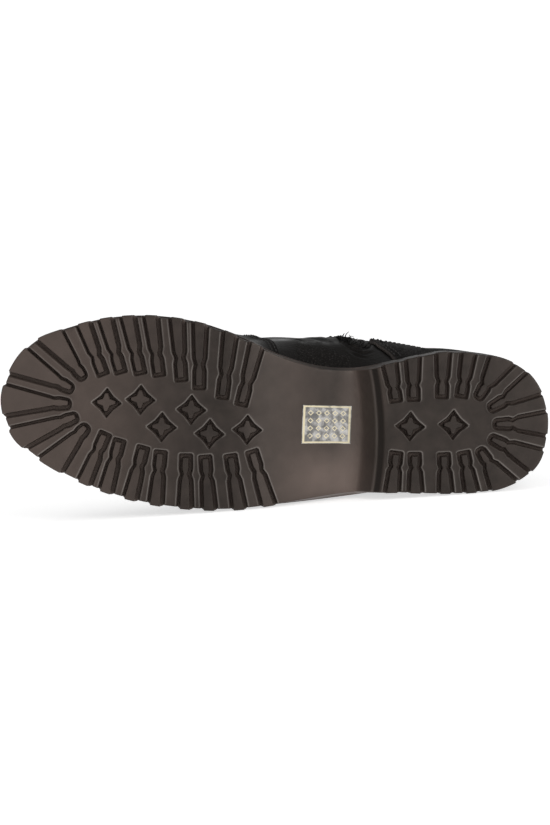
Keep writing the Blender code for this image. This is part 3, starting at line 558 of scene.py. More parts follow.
def breast_shift(x, y, height):
    """How far the bow of the heel breast carries a point of the slab forwards."""
    fade = np.clip(1.0 - (np.abs(x - BREAST_X) - BREAST_FLAT) / BREAST_FADE, 0.0, 1.0)
    fade = fade * (1.0 - np.minimum(height / RAND_FROM, 1.0))
    return BREAST_BOW * ((y - BREAST_BOW_Y) / BREAST_BOW_REACH) ** 2 * fade


def straightened(x, y, height):
    """Places along the sole with the bow of the breast taken out."""
    own = x
    for _ in range(BREAST_ROUNDS):
        own = x - breast_shift(own, y, height)
    return own


def bent(plan, height):
    """Points of the flat slab carried to the sole's side profile."""
    x, y = plan.T
    height = np.broadcast_to(height, x.shape)
    own = straightened(x, y, height)
    low = sole_bottom(own)
    high = sole_top(own)
    share = (height - LUG_DEPTH) / (RAND_FROM - LUG_DEPTH)
    z = low + LUG_DEPTH + (high - RAND_HEIGHT - low - LUG_DEPTH) * share
    z = np.where(height <= LUG_DEPTH, low + height, z)
    z = np.where(height >= RAND_FROM, high - (SLAB_HEIGHT - height), z)
    medial = MEDIAL_DRAFT / np.maximum(medial_edge(x), 1.0)
    lateral = LATERAL_DRAFT / np.maximum(lateral_edge(x), 1.0)
    draft = np.exp(-((x - DRAFT_X) / DRAFT_REACH) ** 2) * (1.0 - np.minimum(height / RAND_FROM, 1.0))
    return np.column_stack((x, y - draft * y * np.where(y > 0.0, medial, lateral), z))


class Lug:
    """One tread lug inside its groove, from its head to the sole's edge."""

    def __init__(self, edge, head, edge_half, rows, head_round):
        self.edge = np.array(edge, float)
        self.head = np.array(head, float)
        length = np.linalg.norm(self.edge - self.head)
        self.along = (self.edge - self.head) / length
        self.across = np.array((-self.along[1], self.along[0]))
        if self.across @ np.array(OFF_MIDDLE_WAY) < 0:
            self.across = -self.across
        self.off_middle = np.interp(edge[0], OFF_MIDDLE_X, OFF_MIDDLE)
        self.edge_half = edge_half
        self.head_round = head_round
        (_, head_half), *others = rows
        belly_at, belly = rows[-1]
        past = edge_half + (edge_half - belly) * OVERRUN / (length * (1.0 - belly_at))
        self.marks = np.array([0.0] + [at * length for at, _ in others] + [length + OVERRUN])
        self.halves = np.array([head_half] + [half for _, half in others] + [past])

    def into(self, points):
        """How far points lie inside the groove, and whether its outer wall is the nearer one."""
        away = points - self.head
        t = away @ self.along
        w = away @ self.across
        half = np.interp(t, self.marks, self.halves)
        outer = rounded_corner(t, half + GROOVE - np.abs(w), self.head_round)
        inner = -rounded_corner(t - GROOVE, half - np.abs(w - self.off_middle), LUG_ROUND)
        return np.minimum(outer, inner), outer < inner

    def lines(self):
        """The lines of the groove's section: along its outer wall and along the lug."""
        for depth in OUTER_INTO:
            yield self.line(GROOVE - depth, self.head_round, self.head_round - depth)
        for depth in LUG_INTO:
            line = self.line(depth, GROOVE + LUG_ROUND, LUG_ROUND + depth)
            yield line + self.across * self.off_middle

    def line(self, wider, turn_at, radius):
        """A line round the head with both its sides, a given amount wider than the lug."""
        half = np.interp(turn_at, self.marks, self.halves) + wider
        angles = np.linspace(0.0, math.pi / 2, 5)
        rest = self.marks > turn_at
        t = np.concatenate((turn_at - radius * np.cos(angles), self.marks[rest]))
        w = np.concatenate((half - radius + radius * np.sin(angles), self.halves[rest] + wider))
        side = np.outer(t, self.along) + self.head
        across = np.outer(w, self.across)
        return finely(np.vstack([(side + across)[::-1], side - across]), LINE_SPACING)


def rounded_corner(a, b, radius):
    """The smaller of two distances, with the corner between them rounded."""
    arc = radius - np.hypot(radius - a, radius - b)
    return np.where((a < radius) & (b < radius), arc, np.minimum(a, b))


def finely(line, spacing):
    """A line with points no further apart than the spacing."""
    made = [line[:1]]
    for start, end in zip(line, line[1:]):
        steps = max(1, math.ceil(np.linalg.norm(end - start) / spacing))
        made.append(start + (end - start) * np.arange(1, steps + 1)[:, None] / steps)
    return np.vstack(made)


def all_lugs():
    """Every lug of the tread."""
    lugs = []
    for bottles, edge_at, way in ((MEDIAL_BOTTLES, medial_edge, 1), (LATERAL_BOTTLES, lateral_edge, -1)):
        for edge_x, head_x, head_y in bottles:
            edge = (edge_x, way * float(edge_at(edge_x)))
            lugs.append(Lug(edge, (head_x, head_y), BOTTLE_EDGE, BOTTLE, BOTTLE_ROUND))
    for wedges, rows in ((TOE_WEDGES, TOE_WEDGE), (HEEL_WEDGES, HEEL_WEDGE)):
        for edge_x, edge_y, head_x, head_y, half in wedges:
            lugs.append(Lug((edge_x, edge_y), (head_x, head_y), half, rows, WEDGE_ROUND))
    return lugs


LUGS = all_lugs()
RIBS = [(float(SOLE.nearest(lug.edge[None])[0]), lug.edge_half + GROOVE / 2) for lug in LUGS]


def star_inside(points, reach, waist, blunt):
    """How far points lie inside a star with four blunt points and a waist between them."""
    corner = waist / math.sqrt(2)
    dx, dy = np.abs(points).T
    far, near = np.maximum(dx, dy), np.minimum(dx, dy)
    side = ((reach - far) * corner - near * (reach - corner)) / math.hypot(corner, reach - corner)
    return np.minimum(side, blunt - far)


def star_line(reach, waist, blunt, inset):
    """The closed outline of such a star, moved inwards."""
    corner = waist / math.sqrt(2)
    edge = math.hypot(corner, reach - corner)
    tip = reach - inset * edge / corner
    waist = corner - inset * edge / reach
    end = min(blunt - inset, tip)
    half = waist * (tip - end) / (tip - waist)
    made = []
    for quarter in range(4):
        c, s = math.cos(quarter * math.pi / 2), math.sin(quarter * math.pi / 2)
        made += [(c * end + s * half, s * end - c * half), (c * end - s * half, s * end + c * half)]
        made.append(((c - s) * waist, (s + c) * waist))
    return finely(np.array(made + made[:1]), LINE_SPACING)


def star_middle(centre):
    """The middle of the star in a recess, a little off the recess's own."""
    return centre + np.interp(centre[0], OFF_MIDDLE_X, OFF_MIDDLE) * np.array(STAR_WAY)


def diamond_into(centre, points):
    """How far points lie inside a diamond's recess, and whether its outer wall is the nearer one."""
    outer = star_inside(points - centre, *RECESS)
    inner = -star_inside(points - star_middle(centre), *STAR)
    return np.minimum(outer, inner), outer < inner


def diamond_lines(centre):
    """The lines of a recess's section: inside its rim and round the star."""
    for depth in OUTER_INTO:
        yield star_line(*RECESS, depth) + centre
    for depth in LUG_INTO:
        yield star_line(*STAR, -depth) + star_middle(centre)


def tread_into(points):
    """How far plan points lie inside the nearest groove, whether by its outer wall, and inside the next."""
    reads = [lug.into(points) for lug in LUGS] + [diamond_into(np.array(d), points) for d in DIAMONDS]
    every = np.array([into for into, _ in reads])
    nearest = every.argmax(axis=0)
    row = np.arange(len(points))
    outer = np.array([outer_near for _, outer_near in reads])[nearest, row]
    best = every[nearest, row]
    every[nearest, row] = -99.0
    return best, outer, every.max(axis=0)


def lit_share(points, inward):
    """How light rims are at points, from the way into the groove."""
    to_heel = np.interp(points[:, 0], LIT_X, LIT_TO_HEEL)
    to_toe = np.interp(points[:, 0], LIT_X, LIT_TO_TOE)
    down = np.interp(points[:, 0], LIT_X, LIT_DOWN)
    x, y = inward.T
    lit = down * np.maximum(-y, 0.0) + to_heel * np.maximum(-x, 0.0) + to_toe * np.maximum(x, 0.0)
    return np.clip(lit, 0.0, 1.0) * (1.0 - RIM_LOSS * np.maximum(y, 0.0))


def tread_height(points):
    """Depth of the tread at plan points, how light its rims are, and how shaded its level parts are."""
    into, outer, other = tread_into(points)
    deep = np.where(outer, np.interp(into, OUTER_INTO, OUTER_DEEP), np.interp(into, LUG_INTO, LUG_DEEP))
    slopes = [tread_into(points + step)[0] - into for step in np.eye(2) * SLOPE_STEP]
    lit = lit_share(points, unit(np.column_stack(slopes)))
    rim = np.exp(-((into - RIM_MIDDLE) / RIM_REACH) ** 2) * np.where(outer, lit, 0.0)
    own = straightened(*points.T, 0.0)
    level = deep < LEVEL_DEPTH
    ridge = np.exp(-((own - BREAST_X) / RIDGE_REACH) ** 2) * level
    facet = eased_step(own - FACET_FROM) * (1.0 - eased_step((own - FACET_TO) / FACET_FADE)) * level
    strip_shade = STRIP_SHADE * eased_step((other + STRIP_GAP) / STRIP_FADE) * outer * level
    heel_side = 1.0 + HEEL_FACET_MORE * (own < BREAST_X)
    shade = np.maximum(strip_shade, facet * heel_side * (1.0 - ridge))
    return deep - RIDGE_BEAD * ridge, np.maximum(rim, RIDGE_LIGHT * ridge), shade


def scallop(s):
    """How far the sole's side draws in between its ribs."""
    out = np.zeros(len(s))
    for middle, half in RIBS:
        gap = np.abs((s - middle + SOLE.length / 2) % SOLE.length - SOLE.length / 2)
        out = np.maximum(out, np.clip((half + RIB_RAMP / 2 - gap) / RIB_RAMP, 0.0, 1.0))
    share = np.interp(SOLE.spot(s)[:, 0], RIB_SHARE_X, RIB_SHARE)
    return RIB_DEPTH * share * (1.0 - eased_step(out))


def triangulated(border, lines, spots):
    """Plan points, triangles and the ordered rim of an area cut along lines."""
    points = [Vector(p) for p in border]
    edges = [(i, (i + 1) % len(border)) for i in range(len(border))]
    for line in lines:
        first = len(points)
        points += [Vector(p) for p in line]
        edges += [(i, i + 1) for i in range(first, len(points) - 1)]
    points += [Vector(p) for p in spots]
    made, _, faces, *_ = delaunay_2d_cdt(points, edges, [], 0, 1e-4, False)
    made = np.array([tuple(p) for p in made])
    faces = np.array([tuple(f) for f in faces])
    keep = inside(border, made[faces].mean(axis=1))
    used, faces = np.unique(faces[keep], return_inverse=True)
    faces = faces.reshape(-1, 3)
    sides = {(int(a), int(b)) for f in faces for a, b in zip(f, np.roll(f, -1))}
    following = {a: b for a, b in sides if (b, a) not in sides}
    start = next(iter(following))
    rim = [start]
    while following[rim[-1]] != start:
        rim.append(following[rim[-1]])
    return made[used], faces, np.array(rim)


def lattice(border, spacing):
    """Evenly spread points inside a border."""
    low, high = border.min(axis=0), border.max(axis=0)
    rows = np.arange(low[1], high[1], spacing * 0.866)
    spots = []
    for k, y in enumerate(rows):
        x = np.arange(low[0] + (k % 2) * spacing / 2, high[0], spacing)
        spots.append(np.column_stack((x, np.full(len(x), y))))
    spots = np.vstack(spots)
    spots = spots[inside(border, spots)]
    gap, _ = line_distance(np.vstack([border, border[:1]]), spots)
    return spots[gap > spacing * 0.4]


def add_piece(name, points, faces, looks, slot, replaces=(), groups=None, body="boot", sharp=35.0):
    """A mesh piece from points in the boot's frame, riding on a body of the frame."""
    mesh = bpy.data.meshes.new(name)
    mesh.from_pydata(placed(points).tolist(), [], [list(map(int, f)) for f in faces])
    for look in looks:
        mesh.materials.append(look)
    if groups is not None:
        mesh.polygons.foreach_set("material_index", np.asarray(groups, np.int32))
    return show(name, mesh, slot, replaces, body, sharp)


def show(name, mesh, slot, replaces=(), body="boot", sharp=35.0):
    """Press a mesh flat on the floor, link and shade it, hang it on its body, and hide the parts that it
    replaces.
    """
    places = np.zeros(len(mesh.vertices) * 3)
    mesh.vertices.foreach_get("co", places)
    places[2::3] = np.maximum(places[2::3], 0.0)
    mesh.vertices.foreach_set("co", places)
    mesh.validate()
    mesh.shade_smooth()
    mesh.set_sharp_from_angle(angle=math.radians(sharp))
    piece = bpy.data.objects.new(name, mesh)
    bpy.context.scene.collection.objects.link(piece)
    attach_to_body(piece, body)
    if replaces:
        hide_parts(*replaces)
    return piece


def attach(mesh, name, values):
    """Keep one number for each point of a mesh, for its material to read."""
    layer = mesh.attributes.new(name, "FLOAT", "POINT")
    layer.data.foreach_set("value", np.asarray(values, np.float32))


def outward_faces(mesh):
    """Weld a closed mesh, drop slivers that stand on its edges, and turn all its faces outwards."""
    work = bmesh.new()
    work.from_mesh(mesh)
    bmesh.ops.remove_doubles(work, verts=work.verts, dist=WELD)
    bmesh.ops.dissolve_degenerate(work, edges=work.edges, dist=SLIVER)
    stray = [face for face in work.faces if all(len(edge.link_faces) != 2 for edge in face.edges)]
    bmesh.ops.delete(work, geom=stray, context="FACES")
    bmesh.ops.recalc_face_normals(work, faces=work.faces)
    work.to_mesh(mesh)
    work.free()


def even_shading(piece):
    """Let the large faces of a piece rule its shading."""
    piece.modifiers.new("even shading", "WEIGHTED_NORMAL").keep_sharp = True


def strip(first, second):
    """Faces between two closed rows of point numbers."""
    return list(zip(first, np.roll(first, -1), np.roll(second, -1), second))


def walls(rows):
    """Faces between closed rows of point numbers, each row to the next."""
    return [face for low, high in zip(rows, rows[1:]) for face in strip(low, high)]


def stacked_rows(rim, count, rings):
    """Point numbers of a rim among the first points, and of the like rings that follow them."""
    return [rim] + [np.arange(len(rim)) + count + len(rim) * k for k in range(rings)]


def closed_body(rings, sides):
    """Faces of a body of rings with as many points each, closed at both ends."""
    rows = np.arange(rings * sides).reshape(rings, sides)
    return [tuple(rows[0][::-1]), tuple(rows[-1]), *walls(rows)]


def ring_points(centres, across, over, radii, sides):
    """Points of rings round centres, each between two directions of its own."""
    angles = np.arange(sides)[None, :, None] * 2 * math.pi / sides
    away = np.cos(angles) * across[:, None] + np.sin(angles) * over[:, None]
    return (centres[:, None] + away * radii[:, None, None]).reshape(-1, 3)


def grid_faces(rows, columns):
    """Faces of a grid of points, and the points' numbers."""
    number = np.arange(rows * columns).reshape(rows, columns)
    corners = (number[:-1, :-1], number[:-1, 1:], number[1:, 1:], number[1:, :-1])
    return np.stack(corners, axis=-1).reshape(-1, 4), number


def sheet_faces(rows, columns):
    """Faces of two like grids of points, one over the other, and of the edge round them."""
    over, number = grid_faces(rows, columns)
    ring = np.concatenate((number[0, :], number[1:, -1], number[-1, -2::-1], number[-2:0:-1, 0]))
    under = over[:, ::-1] + number.size
    return [*map(tuple, over), *map(tuple, under), *strip(ring, ring + number.size)]


def last(level, turn):
    """Points on the last: level 0 is the feather edge, 1 the collar; turn 0 the front, a quarter medial."""
    place = np.clip(level, 0.0, 1.0) * (len(RINGS) - 1)
    index = np.minimum(place.astype(int), len(RINGS) - 2)
    t = (place - index)[:, None]
    a, b, c, d = (RINGS[np.clip(index + k, 0, len(RINGS) - 1)] for k in (-1, 0, 1, 2))
    slope_b = (c - a) / 2
    slope_c = (d - b) / 2
    row = (2 * b - 2 * c + slope_b + slope_c) * t ** 3
    row = row + (3 * c - 3 * b - 2 * slope_b - slope_c) * t ** 2 + slope_b * t + b
    front_x, front_z, back_x, back_z, scale, fill, oval, medial, lateral, sag = row.T
    share = (1.0 - np.cos(2 * math.pi * turn)) / 2
    round_half = np.abs(np.sin(2 * math.pi * turn))
    plan_x = SOLE_LENGTH * (1.0 - share)
    inner = (turn % 1.0) <= 0.5
    x = front_x + (back_x - front_x) * share
    filled = FILL_DEPTH * np.exp(-((share - FILL_AT) / FILL_REACH) ** 2)
    tucked = TUCK_DEPTH * np.exp(-((x - TUCK_X) / TUCK_REACH) ** 2)
    plan = medial_edge(plan_x) + fill * (filled - tucked)
    plan = np.where(inner, plan, LATERAL_TUCK * lateral_edge(plan_x))
    half = (1.0 - oval) * scale * plan + oval * np.where(inner, medial, lateral) * round_half
    z = front_z + (back_z - front_z) * share
    straight = sole_top(front_x) + (sole_top(back_x) - sole_top(front_x)) * share
    return np.column_stack((x, np.where(inner, half, -half), z + sag * (sole_top(x) - straight)))


def creased(points):
    """How far the listed creases raise or lower the leather at points of the last."""
    depth = np.zeros(len(points))
    seen = points[:, (0, 2)]
    for row in CREASES:
        gap, along = line_distance(finely(np.array(row.line), 2.0), seen)
        fade = np.sin(math.pi * np.clip(along, 0.02, 0.98)) ** 0.7
        if row.side:
            fade = fade * eased_step(row.side * points[:, 1] / INNER_FADE)
        trough = np.exp(-(gap / row.width) ** 2)
        lips = np.exp(-((gap - 1.7 * row.width) / row.width) ** 2)
        depth -= row.depth * fade * (trough - CREASE_LIP * lips)
    return depth


def off_last(level, turn, offset):
    """Points that lie off the creased last by an offset, and the directions that they lie in."""
    level, turn, offset = (np.array(v, float) for v in np.broadcast_arrays(level, turn, offset))
    base = last(level, turn)
    up = last(np.minimum(level + 0.002, 1.0), turn) - last(np.maximum(level - 0.002, 0.0), turn)
    round_way = last(level, turn + 0.0015) - last(level, turn - 0.0015)
    normal = unit(np.cross(round_way, up))
    normal[:, 2] *= np.clip(level / 0.03, 0.0, 1.0)
    normal = unit(normal)
    return base + normal * (offset + creased(base))[:, None], normal


class Seam:
    """The edge of an overlay in side view: a smooth line, the area behind it, and the overlay's turns."""

    def __init__(self, rows, far_x, middle, medial, lateral):
        corners = [(far_x, rows[-1][1]), (far_x, rows[0][1])]
        steps = 14
        eased = smooth_loop(list(rows) + corners, steps)
        self.line = eased[:steps * (len(rows) - 1) + 1]
        self.area = np.vstack([self.line, corners])
        self.middle = middle
        self.ends = (medial, lateral)

    def depth(self, points):
        """How far points of the last lie behind the line."""
        seen = points[:, (0, 2)]
        gap, _ = line_distance(self.line, seen)
        return np.where(inside(self.area, seen), gap, -gap)

    def spans(self, turns, inset):
        """The lowest and highest level at each turn that lie deeper than the inset, or two NaN."""
        scan = 260
        levels = np.linspace(0.0, 1.0, scan)
        every = last(np.tile(levels, len(turns)), np.repeat(turns, scan))
        depth = (self.depth(every) - inset).reshape(len(turns), scan)
        made = np.full((len(turns), 2), np.nan)
        for row, values in zip(made, depth):
            found = np.flatnonzero(values > 0)
            if len(found):
                low, high = found[0], found[-1]
                row[0] = 0.0 if low == 0 else crossing(levels, values, low - 1)
                row[1] = 1.0 if high == scan - 1 else crossing(levels, values, high)
        return made

    def tip(self, inner, outer, inset):
        """The last turn, from one that lies behind the line to one that doesn't."""
        for _ in range(24):
            middle = (inner + outer) / 2
            if np.isnan(self.spans(np.array([middle]), inset)[0, 0]):
                outer = middle
            else:
                inner = middle
        return inner

    def turns(self, inset, count):
        """Turns from the medial end of the overlay to the lateral one, closest together at the ends."""
        first, second = (self.tip(self.middle, end, inset) for end in self.ends)
        share = np.sin(np.linspace(-math.pi / 2, math.pi / 2, count)) * 0.9998
        return (first + second) / 2 + (second - first) / 2 * share


def crossing(levels, values, index):
    """The level between two samples where the values cross zero."""
    a, b = values[index], values[index + 1]
    return levels[index] + (levels[index + 1] - levels[index]) * a / (a - b)


VAMP_LINE = Seam(VAMP_SEAM, SOLE_LENGTH + FAR, 0.0, 0.5, -0.5)
COUNTER_LINE = Seam(COUNTER_SEAM, -FAR, 0.5, 0.0, 1.0)


class Value:
    """A value in a shader graph. Arithmetic on it adds Math nodes."""

    def __init__(self, graph, socket):
        self.graph = graph
        self.socket = socket

    def math(self, operation, *others):
        """A Math node on this value and others."""
        return self.graph.math(operation, self, *others)

    def __add__(self, other):
        return self.math("ADD", other)

    def __sub__(self, other):
        return self.math("SUBTRACT", other)

    def __rsub__(self, other):
        return self.graph.math("SUBTRACT", other, self)

    def __mul__(self, other):
        return self.math("MULTIPLY", other)

    __radd__ = __add__
    __rmul__ = __mul__

    def ramp(self, low, high):
        """0 below one value, 1 above another, eased between."""
        settings = {"interpolation_type": "SMOOTHSTEP"}
        return self.graph.node("ShaderNodeMapRange", settings, {0: self, 1: low, 2: high})


class Graph:
    """A node graph, and the one way in which nodes are added to it."""

    def __init__(self, tree):
        self.tree = tree

    def node(self, kind, settings=None, values=None, output=0):
        """A node with its settings and the values or links of its sockets."""
        made = self.tree.nodes.new(kind)
        for key, value in (settings or {}).items():
            setattr(made, key, value)
        for key, value in (values or {}).items():
            self.feed(made.inputs[key], value)
        return Value(self, made.outputs[output])

    def math(self, operation, *values):
        """A Math node on values and numbers."""
        return self.node("ShaderNodeMath", {"operation": operation}, dict(enumerate(values)))

    def parts(self, vector):
        """The three parts of a vector."""
        outputs = self.node("ShaderNodeSeparateXYZ", None, {0: vector}).socket.node.outputs
        return [Value(self, output) for output in outputs]

    def feed(self, socket, value):
        """Set or link one socket."""
        if isinstance(value, Value):
            self.tree.links.new(value.socket, socket)
        else:
            socket.default_value = value


class Surface(Graph):
    """The node graph of one material, round its Principled shader."""

    def __init__(self, name):
        self.material = bpy.data.materials.new(name)
        self.material.use_nodes = True
        super().__init__(self.material.node_tree)
        self.shader = self.tree.nodes["Principled BSDF"]
        self.place = self.node("ShaderNodeTexCoord", output="Object")

    def shade(self, **values):
        """Set the shader's sockets, named with underscores for spaces."""
        for key, value in values.items():
            self.feed(self.shader.inputs[key.replace("_", " ")], value)
        return self.material

    def noise(self, scale, detail=3.0):
        """Soft noise from 0 to 1."""
        return self.node("ShaderNodeTexNoise", None, {"Vector": self.place, "Scale": scale, "Detail": detail})

    def cells(self, scale, feature, vector):
        """Distance in a field of irregular cells."""
        return self.node("ShaderNodeTexVoronoi", {"feature": feature}, {"Vector": vector, "Scale": scale})

    def layer(self, name):
        """A number that the mesh keeps at each point."""
        return self.node("ShaderNodeAttribute", {"attribute_name": name}, output="Fac")

    def mix(self, share, first, second):
        """A colour between two."""
        return self.node("ShaderNodeMix", {"data_type": "RGBA"}, {0: share, 6: first, 7: second}, output=2)

    def bump(self, height, strength, distance, under=None):
        """A normal that follows a height, over another one."""
        values = {"Strength": strength, "Distance": distance, "Height": height}
        if under is not None:
            values["Normal"] = under
        return self.node("ShaderNodeBump", None, values)


def tone(color, factor=1.0):
    """A colour made lighter or darker, with its alpha."""
    return (*[c * factor for c in color], 1.0)


def rubber_look(color, rim_highlight):
    """Moulded rubber: faint mottling, wear with painted light along the sole, painted shade on the strips and
    the breast's facets, painted light high on the groove walls and painted shade on the groove floors, and
    painted highlights along its rims.
    """
    s = Surface("sole_rubber")
    mottle = s.noise(140.0, 4.0)
    fine = s.noise(2600.0, 2.0)
    deep, shade = s.layer("deep"), s.layer("shade")
    # Wear and dust along the sole, mixed with painted light where the sole tilts and on the lower side of the
    # waist
    wear_and_light = s.layer("wear_and_light") + (mottle - 0.5) * 0.28
    base = s.mix(wear_and_light, tone(color, 0.2), tone(color, 2.35))
    # Painted shade on the strips between grooves and on the facets of the breast
    base = s.mix(shade * shade * 0.45, base, tone(color, 0.2))
    # Painted light high on the groove walls, against the shade that falls in the grooves, and painted shade
    # on the groove floors
    base = s.mix(deep.ramp(0.03, 0.30) * 0.85, base, tone(color, 1.5))
    base = s.mix(deep.ramp(0.50, 1.0) * 0.35, base, tone(color, 0.6))
    # Painted highlights along the rims of the grooves and the top of the rand
    base = s.mix(s.layer("rim") * (0.4 + mottle * 0.6), base, tone(rim_highlight))
    skin = s.bump(fine, 0.16, 0.0002)
    wave = s.bump(s.noise(70.0, 2.0), 0.10, 0.0012, skin)
    rough = 0.34 + fine * 0.06 + mottle * 0.08 + (deep + shade) * 0.25
    return s.shade(
        Base_Color=base, Roughness=rough, Normal=wave, Specular_IOR_Level=0.28, Specular_Tint=WARM_GLOSS)


def leather_look(name, hide):
    """Black leather with a pebble grain, smooth and shiny places, painted highlights on the pebbles' tops,
    and a band along the edge painted as shade on the vamp and as a highlight on the heel leather.
    """
    settings = looks().leather
    color = tone(settings.black, hide.tone)[:3]
    grain = settings.grain * hide.grain
    s = Surface(name)
    bend = s.noise(grain * 0.45, 2.0)
    shifted = s.node(
        "ShaderNodeVectorMath", {"operation": "MULTIPLY_ADD"},
        {0: s.node("ShaderNodeTexNoise", None, {"Vector": s.place, "Scale": grain * 0.6}, output="Color"),
         1: (0.55 / grain,) * 3, 2: s.place})
    pebble = s.cells(grain, "DISTANCE_TO_EDGE", shifted).ramp(0.02, 0.34)
    small = s.cells(grain * 2.3, "F1", shifted)
    pores = s.noise(grain * 5.0, 2.0)
    patch = s.noise(22.0, 2.0)
    polish, smooth, edge = s.layer("shine"), s.layer("smooth"), s.layer("edge")
    shine = polish * (1 - polish.ramp(0.36, 0.6) * (1 - s.noise(330.0, 3.0).ramp(0.30, 0.58)))
    grainy = 1 - smooth * 0.85
    # Painted highlights on the pebbles' tops, where the leather is grainy
    pebble_highlights = pebble.ramp(0.5, 1.0) * (1 - smooth.ramp(0.05, 0.4)) * bend.ramp(0.35, 0.6)
    relief = (pebble * (0.55 + bend * 0.6) + small * 0.22) * grainy + pores * 0.10
    base = s.mix(pebble * (0.4 + patch * 0.6), tone(color, 0.45), tone(color, 1.5))
    base = s.mix(pebble_highlights, base, tone(color, hide.speck))
    # Painted shade along the vamp's edge, a painted highlight along the heel leather's edge
    base = s.mix(edge, base, tone(color, hide.edge))
    rough = hide.rough + (1 - pebble) * grainy * 0.22 + patch * 0.08 + edge * 0.25
    return s.shade(
        Base_Color=base, Roughness=rough, Normal=s.bump(relief, hide.bump, 0.0005),
        Coat_Weight=(1 - edge) * hide.coat + shine * 0.9, Coat_Roughness=0.28,
        Specular_IOR_Level=hide.specular, Specular_Tint=WARM_GLOSS)


def cloth_look(name, color, pitch, strength):
    """Plain woven cloth with a thread pitch in metres."""
    s = Surface(name)
    lengthwise, crosswise, upward = s.parts(s.place)
    step = math.pi / pitch
    warp = ((lengthwise + upward * 0.7) * step).math("SINE")
    weft = (crosswise * step).math("SINE")
    weave = warp * weft * 0.5 + 0.5
    fuzz = s.noise(900.0, 3.0)
    base = s.mix(weave * 0.6 + fuzz * 0.4, tone(color, 0.6), tone(color, 1.4))
    normal = s.bump(weave + fuzz * 0.4, strength, pitch * 0.4)
    return s.shade(Base_Color=base, Roughness=0.82 + fuzz * 0.12, Normal=normal, Specular_IOR_Level=0.25)


def metal_look(name, color):
    """Dark plated metal with fine scratches and patches of wear."""
    s = Surface(name)
    wear = s.noise(260.0, 4.0)
    scratch = s.noise(4200.0, 1.0)
    base = s.mix(wear.ramp(0.45, 0.7), tone(color), tone(color, 1.7))
    rough = 0.24 + wear * 0.14 + scratch * 0.10
    return s.shade(Base_Color=base, Metallic=1.0, Roughness=rough, Normal=s.bump(scratch, 0.08, 0.0001))


def plastic_look(name, color):
    """Moulded black teeth, faintly uneven."""
    s = Surface(name)
    fine = s.noise(1500.0, 2.0)
    base = s.mix(fine, tone(color, 0.7), tone(color, 1.5))
    return s.shade(Base_Color=base, Roughness=0.30 + fine * 0.15, Normal=s.bump(fine, 0.1, 0.0001))


def thread_look(color):
    """Twisted thread."""
    s = Surface("stitch_thread")
    twist = s.noise(3000.0, 1.0)
    base = s.mix(twist, tone(color, 0.6), tone(color, 1.6))
    return s.shade(Base_Color=base, Roughness=0.62 + twist * 0.2, Normal=s.bump(twist, 0.4, 0.0002))


def foil_look(color, ink):
    """Dull silver foil with a pale printed border and open lozenges in rows."""
    s = Surface("waist_foil")
    across, along = s.layer("patch_across"), s.layer("patch_along")
    edge = (across - 0.5).math("ABSOLUTE")
    end = (along - 0.5).math("ABSOLUTE")
    outmost = edge.math("MAXIMUM", end)
    border = outmost.ramp(0.442, 0.450) * (1 - outmost.ramp(0.482, 0.490))
    column = (across * 5.0 - 0.5).math("FRACT") - 0.5
    row = (along * 6.0 - 0.5).math("FRACT") - 0.5
    lozenge = column.math("ABSOLUTE") + row.math("ABSOLUTE")
    ring = lozenge.ramp(0.20, 0.24) * (1 - lozenge.ramp(0.34, 0.38))
    whole = (1 - edge.ramp(0.395, 0.400)) * (1 - end.ramp(0.412, 0.416))
    crinkle = s.noise(260.0, 4.0)
    printed = border.math("MAXIMUM", ring * whole) * crinkle.ramp(0.22, 0.42)
    base = s.mix(crinkle.ramp(0.40, 0.62), tone(color, 0.45), tone(color, 1.25))
    base = s.mix(printed, base, tone(ink))
    metal = 0.8 - printed * 0.7
    rough = 0.34 + crinkle * 0.22 + printed * 0.15
    return s.shade(Base_Color=base, Metallic=metal, Roughness=rough, Normal=s.bump(crinkle, 0.35, 0.0008))


def floor_look(color, glow):
    """Pale painted floor, lit a little from below."""
    s = Surface("pale_floor")
    soft = s.noise(3.0, 3.0)
    base = s.mix(soft, tone(color, 0.985), tone(color, 1.0))
    return s.shade(
        Base_Color=base, Roughness=0.7 + soft * 0.05, Specular_IOR_Level=0.2,
        Emission_Color=(1.0, 1.0, 1.0, 1.0), Emission_Strength=glow)


def colour(name, description, default):
    """A colour that a user can change."""
    return FloatVectorProperty(name=name, description=description, subtype="COLOR", size=3, default=default)


class SoleLooks(PropertyGroup):
    """Sizes and colours of the rubber sole."""

    rubber: colour("Rubber", "Colour of the sole", (0.046, 0.0346, 0.0298))
    # The colour of the painted highlights along the rims of the grooves
    rim_highlight: colour("Highlighted rims", "Colour of the rims of the grooves", (0.178, 0.162, 0.150))
    edge_round: FloatProperty(
        name="Edge rounding", description="Rounding of the tread's outer edge, in millimetres", default=0.6,
        min=0.2, max=1.5)
    foil: colour("Foil", "Colour of the foil on the waist", (0.28, 0.272, 0.262))
    ink: colour("Print", "Colour of the foil's border and lozenges", (0.60, 0.53, 0.36))


class LeatherLooks(PropertyGroup):
    """Colour and grain of the leathers, the lining, the footbed and the thread."""

    black: colour("Leather", "Colour of the leathers", (0.0034, 0.0030, 0.0028))
    grain: FloatProperty(
        name="Grain", description="Pebbles of the heel leather in a metre", default=780.0, min=200.0,
        max=3000.0)
    lining: colour("Lining", "Colour of the lining cloth", (0.130, 0.108, 0.090))
    footbed: colour("Footbed", "Colour of the footbed's cloth", (0.115, 0.092, 0.073))
    thread: colour("Thread", "Colour of the stitches", (0.020, 0.018, 0.017))
    stitch: FloatProperty(
        name="Stitch", description="Pitch of the stitches, in millimetres", default=3.0, min=1.5, max=6.0)


